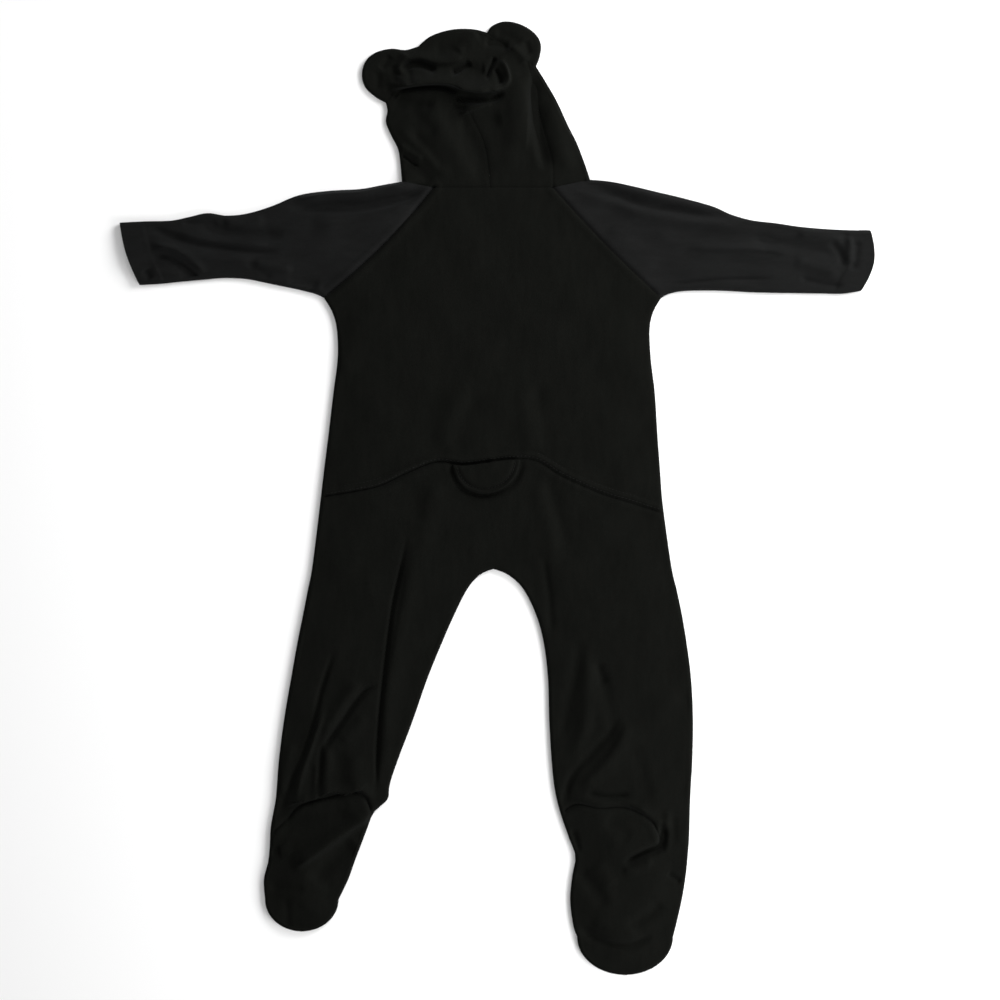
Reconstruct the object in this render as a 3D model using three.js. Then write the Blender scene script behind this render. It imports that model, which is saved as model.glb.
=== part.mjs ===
// A baby's black hooded romper with feet, round ears on the hood and a small tail flap.
// It lies face down on a surface with its back up, the hood at +Y and the toes at -Y.
// Millimetres, +Z up, origin at the middle of the garment's outline, on the surface.
//
// Every cloth piece is a thin wall. Its plan is a net of cells between edge paths, its height comes
// from the flattened tube that the garment makes when it lies down, and from the table of folds.

import * as THREE from "three";

// Cloth and seams
const CLOTH = 1.5; // brushed cotton jersey
const FLAP_CLOTH = 1.1; // each layer of the tail flap
const SEAM_GAP = 0.3; // between two pieces that are sewn together
const FLAP_LIFT = 0.6; // the tail flap lies this far above the seat

// The flattened tube
const FOLD_Z = 1.75; // height of the folded outer edge
const EDGE_RISE = 2.6; // from that edge up to the lying back layer
const EDGE_RADIUS = 3.2;
const LOFT = 1.8; // air between the layers, away from the edges
const LOFT_REACH = 38;
const HOOD_LOFT = 3; // the hood keeps more air in it
const FOOT_LOFT = 3.5;
const LEAST_BACK_Z = 4.3; // the back layer never sinks below this, except at an edge
const FOLD_FADE = 9; // folds die out this far from the outline
const HOOD_FADE = 4;
const HEM_WIDTH = 22; // turned hem at the wrists
const HEM_RISE = 0.6;

// Net sizes
const RIM_STEPS = [1, 4]; // cells beside a folded edge
const RIM_SHARES = [0.03, 0.1]; // the same, as the most of a narrow row's width
const ON_RIM = 0.3; // a point this near the outline lies on it

// Front closing: stud caps under the raised edges of the fronts, with a strip inside
const STUD_COUNT = 8;
const STUD_RADIUS = 5;
const STUD_HEIGHT = 0.6;
const STUD_TOP_Y = 212;
const STUD_LOW_Y = -20;
const RAISED_Z = STUD_HEIGHT + SEAM_GAP;
const RAISED_STOPS = [14, 8]; // the fronts rise between these distances from the middle line
const PLACKET = { width: 22, top: 222, low: -34 };

// A table of rows of numbers, as objects with named columns
const table = (columns, rows) =>
  rows.map((row) => Object.fromEntries(columns.map((c, i) => [c, row[i]])));

// Sections of the body laid flat, from the underarm to the hip
const TORSO = table(
  ["y", "left", "right"],
  [
    [172, -149.6, 140.2],
    [160, -142.5, 133.5],
    [145, -138.5, 130.3],
    [120, -137.8, 131.3],
    [90, -141.5, 134.8],
    [55, -145.6, 137],
    [25, -149.4, 139.2],
    [0, -152.3, 141],
    [-30, -155.9, 144.8],
    [-62, -160, 149.6],
  ],
);

// Sections of the legs, from the crotch to the heels
const CROTCH = { x: -4, y: -61 };
const LEFT_LEG = table(
  ["y", "outer", "inner"],
  [
    [-66, -160.6, -15.5],
    [-78, -163.2, -26.2],
    [-100, -167.5, -37.4],
    [-125, -172.5, -48.4],
    [-156, -178, -61],
    [-190, -183.8, -72.8],
    [-225, -188.3, -86],
    [-246, -189.9, -93],
    [-259, -191, -95],
  ],
);
const RIGHT_LEG = table(
  ["y", "outer", "inner"],
  [
    [-66, 150.4, 8.6],
    [-78, 153.4, 21.6],
    [-100, 158, 32.6],
    [-125, 162.2, 39.4],
    [-156, 166, 43],
    [-190, 167.6, 44],
    [-225, 167, 46],
    [-250, 165.6, 48.7],
  ],
);

// Sections of the feet, from the ankle to where the toe cap starts
const LEFT_FOOT = table(
  ["y", "outer", "inner"],
  [
    [-270, -193, -106.6],
    [-284, -195.4, -112.4],
    [-300, -196.2, -118.4],
    [-313, -197.6, -123.4],
    [-328, -201.2, -128.8],
    [-345, -200.2, -137],
  ],
);
const RIGHT_FOOT = table(
  ["y", "outer", "inner"],
  [
    [-270, 164.8, 53.4],
    [-292, 164.2, 61],
    [-308, 163, 66.6],
    [-324, 161.4, 64],
    [-345, 158, 62],
    [-367, 153, 64.6],
    [-377, 150.4, 68],
  ],
);
const LEFT_TOE_DEPTH = 27.4;
const RIGHT_TOE_DEPTH = 32.8;

// Sections of the sleeves, from the wrist to the shoulder
const SLEEVE_COLUMNS = ["topX", "topY", "bottomX", "bottomY"];
const LEFT_SLEEVE = table(SLEEVE_COLUMNS, [
  [-325, 236.5, -308, 183],
  [-303, 237.6, -290, 184],
  [-282, 238.2, -270, 186],
  [-265, 241.6, -252, 187.6],
  [-250, 244.8, -235, 189],
  [-234, 242.7, -217, 188.2],
  [-216, 244.4, -203, 185.6],
  [-195, 250.6, -190, 182.8],
  [-171, 260.2, -178, 180.4],
  [-145, 264, -168, 178.2],
  [-118, 265.6, -160, 176.2],
  [-97, 269.4, -154, 174.2],
  [-82.6, 271.8, -149.6, 172],
]);
const RIGHT_SLEEVE = table(SLEEVE_COLUMNS, [
  [320, 230, 312, 178],
  [300, 230.3, 296, 175.5],
  [280, 231.3, 277, 175.7],
  [259, 233.2, 256, 176],
  [238, 236.3, 236, 176.2],
  [218, 238.7, 216, 176.8],
  [200, 243.8, 199, 177.8],
  [184, 250.8, 186, 178.2],
  [158, 258, 173, 178.2],
  [136, 263.2, 162, 178],
  [115, 268.2, 152, 176.8],
  [96, 272, 145, 174.6],
  [79.1, 273.5, 140.2, 172],
]);
const LEFT_WRIST_BOW = 2.6;
const RIGHT_WRIST_BOW = 7;

// Stations of the hood, from the neck to the ears: its edges and the seams of its middle panel
const HOOD = table(
  ["leftX", "leftY", "seamLeftX", "seamLeftY", "seamRightX", "seamRightY", "rightX", "rightY"],
  [
    [-82.6, 271.8, -7, 266.6, 47.3, 266.6, 79.1, 273.5],
    [-84, 288, -8.6, 286.4, 46.9, 286.4, 75, 286],
    [-86, 300, -12, 303.6, 43, 303.6, 68, 304.4],
    [-92, 312, -20.6, 323.4, 37.5, 323, 60.2, 320],
    [-96.3, 323, -34.4, 344.9, 33, 340, 50.7, 340.6],
    [-95, 332.5, -56.8, 357.8, 29.5, 357, 41, 357.5],
    [-96.3, 339.5, -81.7, 361.2, 25.5, 374.6, 32.7, 370.7],
  ],
);
const CROWN = table(
  ["x", "y"],
  [
    [-68.8, 388],
    [-58.5, 396.5],
    [-44.7, 401.6],
    [-31.8, 403.3],
    [-18.9, 402.5],
    [-9.5, 399.9],
  ],
);
const LEFT_EAR = table(
  ["x", "y"],
  [
    [-96.3, 339.5],
    [-105.8, 344.9],
    [-113.8, 352.6],
    [-117, 363],
    [-114, 375],
    [-105.4, 382.7],
    [-92, 386.1],
    [-79.5, 385],
    [-68.8, 388],
  ],
);
const RIGHT_EAR = table(
  ["x", "y"],
  [
    [-9.5, 399.9],
    [-5.2, 405.6],
    [4.3, 409.4],
    [15.5, 408.3],
    [27, 403],
    [34.6, 395.6],
    [37, 387.6],
    [35.6, 378.4],
    [32.7, 370.7],
  ],
);

// Seams on the back
const LEFT_NECK = { x: -55, y: 266.6 };
const RIGHT_NECK = { x: 47.3, y: 266.6 };
const LEFT_RAGLAN_BOW = 4;
const RIGHT_RAGLAN_BOW = 2;
const SEAT_SEAM = table(
  ["x", "y"],
  [
    [-152.2, 0.9],
    [-125.6, 5.2],
    [-101.5, 10.3],
    [-75.7, 22.4],
    [-52, 31],
    [-30, 28.6],
    [-8.6, 31],
    [12, 33.4],
    [32, 32.4],
    [55, 18.9],
    [87.7, 4.3],
    [115.2, -4.3],
    [141.9, -12.9],
  ],
);
const SEAT_MIDDLE = 6; // the row of the seat seam on the middle line
const LEFT_HEEL = table(
  ["x", "y"],
  [
    [-196, -290],
    [-181, -275.4],
    [-168.6, -263.4],
    [-147.9, -257.4],
    [-125.6, -252],
    [-114, -257.4],
    [-107.6, -272.5],
  ],
);
const RIGHT_HEEL = table(
  ["x", "y"],
  [
    [54, -272],
    [61.1, -265.9],
    [70, -262.8],
    [87.7, -266.2],
    [106.6, -265.4],
    [121, -270],
    [131.6, -277.4],
    [137.6, -288],
    [145, -306],
    [161.6, -322.5],
  ],
);
const TAIL = { left: -38.7, right: 18.9, top: 28.5, depth: 27 };

// Seams on the front, which is hidden under the back
const FRONT_NECK = { x: -1.7, y: 227.9 };
const LEFT_FRONT_NECK = { x: -62.8, y: 249.4 };
const RIGHT_FRONT_NECK = { x: 55.9, y: 249.4 };
const FACE_LEFT = table(
  ["x", "y"],
  [
    [-1.7, 227.9],
    [-24, 249],
    [-45, 279],
    [-58, 316],
    [-50, 346],
  ],
);
const FACE_RIGHT = table(
  ["x", "y"],
  [
    [-1.7, 227.9],
    [18, 248],
    [38, 278],
    [49, 312],
    [25, 345],
  ],
);
const FACE_TOP = { x: -7, y: 366 };

// Folds and creases of the back layer. Each runs through its points, rises by height (or sinks, where
// it is negative) and falls off over width. steep narrows the fall on one side: right or left of
// the way that the points run.
const FOLD_COLUMNS = ["points", "height", "width", "steep", "side"];
const SLEEVE_FOLDS = table(FOLD_COLUMNS, [
  [[[-301, 234], [-256, 221], [-218, 214], [-179, 215]], 2.8, 6, 0.5, "left"],
  [[[-298, 216], [-269, 211], [-243, 203], [-216, 206]], 3.2, 6, 0.5, "right"],
  [[[-293, 213], [-276, 209], [-255, 190]], -1.8, 5, 1, "left"],
  [[[-252, 232], [-222, 228], [-183, 226]], -1.6, 6, 1, "left"],
  [[[-212, 205], [-198, 196], [-179, 194]], 2, 5, 1, "left"],
  [[[-150, 250], [-100, 253], [-58, 263]], 3, 8, 0.6, "left"],
  [[[62, 264], [105, 254], [157, 243], [208, 238]], 3.6, 8, 0.6, "left"],
  [[[165, 212], [225, 212], [260, 208], [292, 203]], 3, 7, 1, "left"],
  [[[161, 229], [225, 221], [287, 213]], -1.2, 7, 1, "left"],
  [[[146, 184], [174, 187], [208, 191], [238, 192]], -1, 4, 1, "left"],
  [[[290, 220], [298, 203], [297, 180]], -2, 4, 1, "left"],
  [[[304, 224], [305, 203]], 2.6, 5, 1, "left"],
  [[[264, 194], [292, 187]], 1.6, 5, 1, "left"],
]);
const BODY_FOLDS = table(FOLD_COLUMNS, [
  [[[-17, 101], [-37, 76], [-49, 37]], 2.2, 9, 1, "left"],
  [[[-56, 92], [-59, 41]], -1, 9, 1, "left"],
  [[[23, 90], [33, 37]], 1.6, 9, 1, "left"],
  [[[38, 92], [47, 37]], -1.2, 9, 1, "left"],
  [[[-112, 166], [-130, 108]], 1.6, 11, 1, "left"],
]);
const LEG_FOLDS = table(FOLD_COLUMNS, [
  [[[-50, 24], [-57, -19], [-70, -70], [-76, -110]], 2.4, 11, 1, "left"],
  [[[-75, -32], [-84, -88], [-89, -157], [-95, -208], [-98, -250]], 3.6, 12, 0.3, "right"],
  [[[-101, -163], [-112, -169], [-127, -187], [-141, -206]], -2, 6, 1, "left"],
  [[[-116, -180], [-134, -206], [-140, -236]], 2.6, 8, 0.6, "left"],
  [[[-151, -187], [-162, -212], [-174, -243], [-181, -268]], -2.4, 5, 1, "left"],
  [[[-138, -196], [-153, -224], [-169, -254]], 5, 9, 0.6, "right"],
  [[[-130, -214], [-124, -240]], -1.6, 7, 1, "left"],
  [[[43, 15], [53, -19], [60, -44]], -1.4, 8, 1, "left"],
  [[[37, 10], [44, -32], [50, -60]], 1.8, 8, 1, "left"],
  [[[41, -52], [47, -88], [48, -116]], -1.4, 6, 1, "left"],
  [[[78, -120], [72, -157], [62, -194]], -2.2, 7, 1, "left"],
  [[[83, -136], [80, -172], [72, -208]], 2.4, 7, 1, "left"],
  [[[91, -146], [96, -174], [86, -210], [70, -238], [61, -258]], -3, 6, 1, "left"],
  [[[106, -196], [92, -226], [76, -248]], 4.2, 11, 0.5, "right"],
  [[[104, -204], [118, -250]], 2.4, 11, 1, "left"],
  [[[83, -255], [98, -254], [112, -257]], -2.2, 5, 1, "left"],
]);
const FOOT_FOLDS = table(FOLD_COLUMNS, [
  [[[-178, -268], [-150, -255], [-116, -250]], 4, 9, 0.5, "right"],
  [[[64, -258], [88, -260], [114, -262], [134, -276]], 3.4, 8, 0.5, "right"],
  [[[142, -282], [146, -296], [133, -311], [115, -329]], -3.6, 5, 1, "left"],
  [[[154, -276], [151, -304]], 2.6, 7, 1, "left"],
  [[[76, -372], [92, -381], [114, -383], [132, -375]], -2, 6, 1, "left"],
  [[[86, -362], [124, -366]], 1.4, 8, 1, "left"],
  [[[-111, -279], [-127, -289], [-149, -304], [-169, -322]], 3.6, 8, 0.5, "left"],
  [[[-168, -283], [-142, -286], [-124, -273]], -1.8, 10, 1, "left"],
]);
const HOOD_FOLDS = table(FOLD_COLUMNS, [
  [[[-90, 352], [-58, 353], [-33, 351], [-7, 349], [7, 354]], 9, 10, 0.8, "right"],
  [[[-84, 377], [-58, 375], [-41, 371], [-15, 371]], 6, 8, 0.7, "right"],
  [[[-7, 381], [3, 370], [8, 358], [3, 347]], 7, 7, 0.7, "right"],
  [[[-30, 342], [-17, 321], [-8, 298], [-5, 270]], 5, 9, 0.6, "left"],
  [[[-84, 330], [-63, 304], [-43, 272]], 2.6, 10, 1, "left"],
  [[[-83, 299], [-77, 293], [-70, 287]], -3, 4, 1, "left"],
  [[[14, 377], [15, 334], [15, 291], [16, 270]], 4, 9, 1, "left"],
  [[[30, 358], [36, 332], [43, 304], [47, 282]], -3.4, 7, 1, "left"],
  [[[46, 332], [59, 300], [68, 276]], 4, 10, 1, "left"],
  [[[-26, 336], [4, 336]], -1.6, 9, 1, "left"],
  [[[-58, 390], [-24, 393], [2, 388]], 3.4, 9, 1, "left"],
  [[[-96, 340], [-82, 361], [-69, 388]], -1.4, 5, 1, "left"],
  [[[-9, 400], [10, 386], [27, 372]], -1.4, 5, 1, "left"],
]);
const FOLDS = [SLEEVE_FOLDS, BODY_FOLDS, LEG_FOLDS, FOOT_FOLDS, HOOD_FOLDS].flat();
const FOLD_TAPER = 0.28; // share of a fold's length over which each end fades

// Paths in plan

const vec = (p) => new THREE.Vector2(p.x, p.y);
const spline = (points) => new THREE.SplineCurve(points);
const straight = (a, b) => new THREE.LineCurve(vec(a), vec(b));

function chain(...curves) {
  const path = new THREE.CurvePath();
  curves.forEach((c) => path.add(c));
  return path;
}

// The point at a share of a path's length
function along(path, share) {
  const s = Math.min(Math.max(share, 0), 1);
  if (typeof path === "function") return path(s);
  return path instanceof THREE.CurvePath ? path.getPoint(s) : path.getPointAt(s);
}

// Part of a path, from one share of its length to another, either way round
function stretch(path, from, to, count = 24) {
  const points = [];
  for (let i = 0; i <= count; i++) points.push(along(path, from + ((to - from) * i) / count));
  return new THREE.SplineCurve(points);
}

// A line between two points that bows to its left by bow in the middle
function bowed(a, b, bow) {
  const from = vec(a);
  const to = vec(b);
  const across = new THREE.Vector2(from.y - to.y, to.x - from.x).normalize();
  const bend = (s) => from.clone().lerp(to, s).addScaledVector(across, bow * Math.sin(Math.PI * s));
  return spline([0, 0.25, 0.5, 0.75, 1].map(bend));
}

// A round toe or flap: the lower half of an ellipse between two points at one height
function roundEnd(left, right, depth) {
  const middle = (left.x + right.x) / 2;
  const half = (right.x - left.x) / 2;
  const slant = (right.y - left.y) / 2;
  const points = [];
  const count = 24;
  for (let i = 0; i <= count; i++) {
    const a = Math.PI * (1 - i / count);
    const y = (left.y + right.y) / 2 + slant * Math.cos(a) - depth * Math.sin(a);
    points.push(new THREE.Vector2(middle + half * Math.cos(a), y));
  }
  return spline(points);
}

const column = (rows, x, y) => rows.map((r) => new THREE.Vector2(r[x], r[y]));

const last = (rows) => rows[rows.length - 1];
const leftArmpit = vec({ x: TORSO[0].left, y: TORSO[0].y });
const rightArmpit = vec({ x: TORSO[0].right, y: TORSO[0].y });
const leftShoulder = vec({ x: last(LEFT_SLEEVE).topX, y: last(LEFT_SLEEVE).topY });
const rightShoulder = vec({ x: last(RIGHT_SLEEVE).topX, y: last(RIGHT_SLEEVE).topY });

// Whole outer edges, from the underarm to where the toe caps start
const leftOuter = spline([
  ...column(TORSO, "left", "y"),
  ...column(LEFT_LEG.slice(1), "outer", "y"),
  ...column(LEFT_FOOT, "outer", "y"),
]);
const rightOuter = spline([
  ...column(TORSO, "right", "y"),
  ...column(RIGHT_LEG.slice(1), "outer", "y"),
  ...column(RIGHT_FOOT, "outer", "y"),
]);
const leftInner = spline([
  vec(CROTCH),
  ...column(LEFT_LEG, "inner", "y"),
  ...column(LEFT_FOOT, "inner", "y"),
]);
const rightInner = spline([
  vec(CROTCH),
  ...column(RIGHT_LEG, "inner", "y"),
  ...column(RIGHT_FOOT, "inner", "y"),
]);
const toe = (foot, depth) => {
  const row = last(foot);
  const ends = [row.outer, row.inner].sort((a, b) => a - b);
  return roundEnd({ x: ends[0], y: row.y }, { x: ends[1], y: row.y }, depth);
};
const leftToe = toe(LEFT_FOOT, LEFT_TOE_DEPTH);
const rightToe = toe(RIGHT_FOOT, RIGHT_TOE_DEPTH);

const leftSleeveTop = spline(column(LEFT_SLEEVE, "topX", "topY"));
const leftSleeveBottom = spline(column(LEFT_SLEEVE, "bottomX", "bottomY"));
const rightSleeveTop = spline(column(RIGHT_SLEEVE, "topX", "topY"));
const rightSleeveBottom = spline(column(RIGHT_SLEEVE, "bottomX", "bottomY"));

const hoodLeft = spline(column(HOOD, "leftX", "leftY"));
const hoodRight = spline(column(HOOD, "rightX", "rightY"));
const hoodSeamLeft = spline(column(HOOD, "seamLeftX", "seamLeftY"));
const hoodSeamRight = spline(column(HOOD, "seamRightX", "seamRightY"));
const crown = spline(column(CROWN, "x", "y"));
const leftEarLow = along(hoodLeft, 1);
const leftEarMiddle = along(hoodSeamLeft, 1);
const leftEarHigh = along(crown, 0);
const rightEarHigh = along(crown, 1);
const rightEarMiddle = along(hoodSeamRight, 1);
const rightEarLow = along(hoodRight, 1);
const leftEarRim = spline(column(LEFT_EAR, "x", "y"));
const rightEarRim = spline(column(RIGHT_EAR, "x", "y"));

// The whole outline where the cloth turns under or is seamed; the open wrists are left out
const OUTLINE_STEP = 3;
const BUNCH = 12;
const outline = [
  leftOuter, rightOuter, leftInner, rightInner, leftToe, rightToe,
  leftSleeveTop, leftSleeveBottom, rightSleeveTop, rightSleeveBottom,
  hoodLeft, hoodRight, crown, leftEarRim, rightEarRim,
].flatMap((c) => {
  const count = Math.ceil(c.getLength() / OUTLINE_STEP);
  const run = Array.from({ length: count + 1 }, (_, i) => along(c, i / count));
  const bunches = [];
  for (let i = 0; i < count; i += BUNCH) {
    const points = run.slice(i, i + BUNCH + 1);
    const middle = points[Math.floor(points.length / 2)];
    bunches.push({ points, middle, radius: Math.max(...points.map((p) => p.distanceTo(middle))) });
  }
  return bunches;
});

// Shortest distance from a point to a run of points, where along the run it is and on which side
function nearest(x, y, points) {
  const best = { distance: Infinity, share: 0, side: 1 };
  for (let i = 0; i + 1 < points.length; i++) {
    const dx = points[i + 1].x - points[i].x;
    const dy = points[i + 1].y - points[i].y;
    const length2 = dx * dx + dy * dy;
    const raw = ((x - points[i].x) * dx + (y - points[i].y) * dy) / length2;
    const t = Math.min(Math.max(raw, 0), 1);
    const ex = x - points[i].x - t * dx;
    const ey = y - points[i].y - t * dy;
    const distance = Math.hypot(ex, ey);
    if (distance >= best.distance) continue;
    best.distance = distance;
    best.share = (i + t) / (points.length - 1);
    best.side = dx * ey - dy * ex >= 0 ? 1 : -1;
  }
  return best;
}

// How far inside the outline a point lies
function inset(x, y) {
  let best = Infinity;
  for (const { points, middle, radius } of outline) {
    if (Math.hypot(x - middle.x, y - middle.y) - radius > best) continue;
    best = Math.min(best, nearest(x, y, points).distance);
  }
  return best < ON_RIM ? 0 : best;
}

// Heights

const smooth = (t) => {
  const c = Math.min(Math.max(t, 0), 1);
  return c * c * (3 - 2 * c);
};

const FOLD_SAMPLES = 14;
for (const f of FOLDS) {
  const path = spline(f.points.map(([x, y]) => new THREE.Vector2(x, y)));
  f.run = Array.from({ length: FOLD_SAMPLES + 1 }, (_, i) => along(path, i / FOLD_SAMPLES));
}

// How high the folds lift a point of the back layer
function foldsAt(x, y) {
  let sum = 0;
  for (const f of FOLDS) {
    const near = nearest(x, y, f.run);
    if (near.distance > 3 * f.width) continue;
    const steepSide = f.side === "left" ? 1 : -1;
    const reach = near.side === steepSide ? f.width * f.steep : f.width;
    const ends = smooth(near.share / FOLD_TAPER) * smooth((1 - near.share) / FOLD_TAPER);
    const amount = ends * Math.exp(-((near.distance / reach) ** 2));
    sum += f.height * amount;
  }
  return sum;
}

const HOOD_FROM = 268;
const FOOT_FROM = -250;
const BLEND = 40;
const BACK_EDGE_Z = FOLD_Z + SEAM_GAP / 2;
const FRONT_EDGE_Z = FOLD_Z - SEAM_GAP / 2;
const INSIDE_Z = CLOTH + 0.4; // the back layer's inner face stays above this

// The outer face of the back layer over a point of the plan. edgeZ is its height at the outline.
function backPoint(p, edgeZ) {
  const d = inset(p.x, p.y);
  const turn = Math.sqrt(1 - (1 - Math.min(d / EDGE_RADIUS, 1)) ** 2);
  const hood = smooth((p.y - HOOD_FROM) / BLEND);
  const foot = smooth((FOOT_FROM - p.y) / BLEND);
  const loft = LOFT + (HOOD_LOFT - LOFT) * hood + (FOOT_LOFT - LOFT) * foot;
  const fade = smooth(d / (FOLD_FADE + (HOOD_FADE - FOLD_FADE) * hood));
  const lying = edgeZ + EDGE_RISE * turn;
  const raised = lying + loft * smooth(d / LOFT_REACH) + foldsAt(p.x, p.y) * fade;
  const z = Math.max(raised, d < EDGE_RADIUS ? lying : LEAST_BACK_Z);
  return new THREE.Vector3(p.x, p.y, z);
}

// The outer face of the layer underneath: flat on the surface, turned up at the outline to edgeZ
function underPoint(p, edgeZ) {
  const turn = 1 - Math.sqrt(1 - (1 - Math.min(inset(p.x, p.y) / edgeZ, 1)) ** 2);
  return new THREE.Vector3(p.x, p.y, edgeZ * turn);
}

// The fronts, which rise over the stud caps beside the middle line
function frontPoint(p) {
  const q = underPoint(p, FRONT_EDGE_Z);
  const off = nearest(p.x, p.y, [vec(FRONT_NECK), vec(CROTCH)]).distance;
  const [outer, inner] = RAISED_STOPS;
  const along = smooth((p.y - PLACKET.low + 14) / 12);
  q.z += RAISED_Z * smooth((outer - off) / (outer - inner)) * along;
  return q;
}

const back = (edgeZ) => (p) => backPoint(p, edgeZ);
const under = (edgeZ) => (p) => underPoint(p, edgeZ);

// Nets

const even = (cells) => Array.from({ length: cells + 1 }, (_, i) => i / cells);
const closerAtEnd = (cells) => even(cells).map((s) => s * (1.45 - 0.45 * s));

// Shares of a row of the given length. Folded ends get narrow cells, seamed ends don't.
function shares(length, cells, startFolded, endFolded) {
  const rim = RIM_STEPS.map((step, i) => Math.min(step / length, RIM_SHARES[i]));
  const start = startFolded ? [0, ...rim] : [0];
  const end = endFolded ? [0, ...rim].reverse().map((s) => 1 - s) : [1];
  const from = last(start);
  const to = end[0];
  const middle = [];
  for (let i = 1; i < cells; i++) middle.push(from + ((to - from) * i) / cells);
  return [...start, ...middle, ...end];
}

// Shares of a path in parts, with a number of cells for each part of the given lengths
function parts(lengths, cells) {
  const whole = lengths.reduce((sum, l) => sum + l, 0);
  const list = [0];
  let done = 0;
  lengths.forEach((l, k) => {
    for (let i = 1; i <= cells[k]; i++) list.push((done + (l * i) / cells[k]) / whole);
    done += l;
  });
  return list;
}

// A plan patch between four paths: low and high run left to right, left and right run low to high
function patch(low, high, left, right) {
  const corners = [along(low, 0), along(low, 1), along(high, 0), along(high, 1)];
  return (u, v) => {
    const [a, b, c, d] = [along(low, u), along(high, u), along(left, v), along(right, v)];
    const mix = (k) => {
      const ruled = (1 - v) * a[k] + v * b[k] + (1 - u) * c[k] + u * d[k];
      const [c0, c1, c2, c3] = corners.map((q) => q[k]);
      return ruled - ((1 - u) * (1 - v) * c0 + u * (1 - v) * c1 + (1 - u) * v * c2 + u * v * c3);
    };
    return new THREE.Vector2(mix("x"), mix("y"));
  };
}

// A patch that closes a rounded end. v runs from its base to the tip of its rim, each row being a
// chord across the rim, and the bend of the base fades out on the way.
function cap(rim, base) {
  const [start, end] = [along(base, 0), along(base, 1)];
  return (u, v) => {
    const chord = along(rim, v / 2).clone().lerp(along(rim, 1 - v / 2), u);
    const bend = along(base, u).clone().sub(start.clone().lerp(end, u));
    return chord.addScaledVector(bend, 1 - v);
  };
}

// Rows of points over a patch. across gives the shares along a row, from its width and place.
function net(at, ups, across, lift) {
  return ups.map((v) => {
    const width = at(0, v).distanceTo(at(0.5, v)) + at(0.5, v).distanceTo(at(1, v));
    return across(width, v).map((u) => lift(at(u, v)));
  });
}

// Twice the area of a net in plan, positive where its rows run anticlockwise
function turning(rows) {
  let sum = 0;
  for (let i = 0; i + 1 < rows.length; i++)
    for (let j = 0; j + 1 < rows[i].length; j++) {
      const [a, b, c, d] = [rows[i][j], rows[i][j + 1], rows[i + 1][j + 1], rows[i + 1][j]];
      sum += (c.x - a.x) * (d.y - b.y) - (d.x - b.x) * (c.y - a.y);
    }
  return sum;
}

// Joins nets into one surface with shared points. Quads face up, or down where a net says so.
const KEYS_PER_MM = 50;
const KEY_SHIFT = 0.237; // keeps round sizes off the borders between two keys
const NEAR_RIM = 2;
const STRAIGHT = 0.97; // two seam edges that turn more than this leaves make a corner
function weld(nets) {
  const points = [];
  const keys = new Map();
  const quads = [];
  const indexOf = (p) => {
    const key = [p.x, p.y, p.z].map((n) => Math.round(n * KEYS_PER_MM + KEY_SHIFT)).join(" ");
    if (!keys.has(key)) {
      keys.set(key, points.length);
      points.push(p.clone());
    }
    return keys.get(key);
  };
  for (const { rows, down } of nets) {
    const index = rows.map((row) => row.map(indexOf));
    const reversed = turning(rows) > 0 === Boolean(down);
    for (let i = 0; i + 1 < rows.length; i++)
      for (let j = 0; j + 1 < rows[i].length; j++) {
        const quad = [index[i][j], index[i][j + 1], index[i + 1][j + 1], index[i + 1][j]];
        if (reversed) quad.reverse();
        quads.push({ quad, down });
      }
  }
  return { points, quads };
}

// The border of a welded surface, with the way out of the cloth in plan
function borderOf({ points, quads }) {
  const edges = new Map();
  for (const { quad, down } of quads)
    quad.forEach((a, i) => {
      const b = quad[(i + 1) % quad.length];
      if (a === b) return;
      const twin = b + " " + a;
      if (edges.has(twin)) edges.delete(twin);
      else edges.set(a + " " + b, { a, b, down });
    });
  return [...edges.values()].map(({ a, b, down }) => {
    const run = points[b].clone().sub(points[a]);
    const out = new THREE.Vector2(run.y, -run.x).normalize();
    return { a, b, out: down ? out.negate() : out };
  });
}

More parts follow.
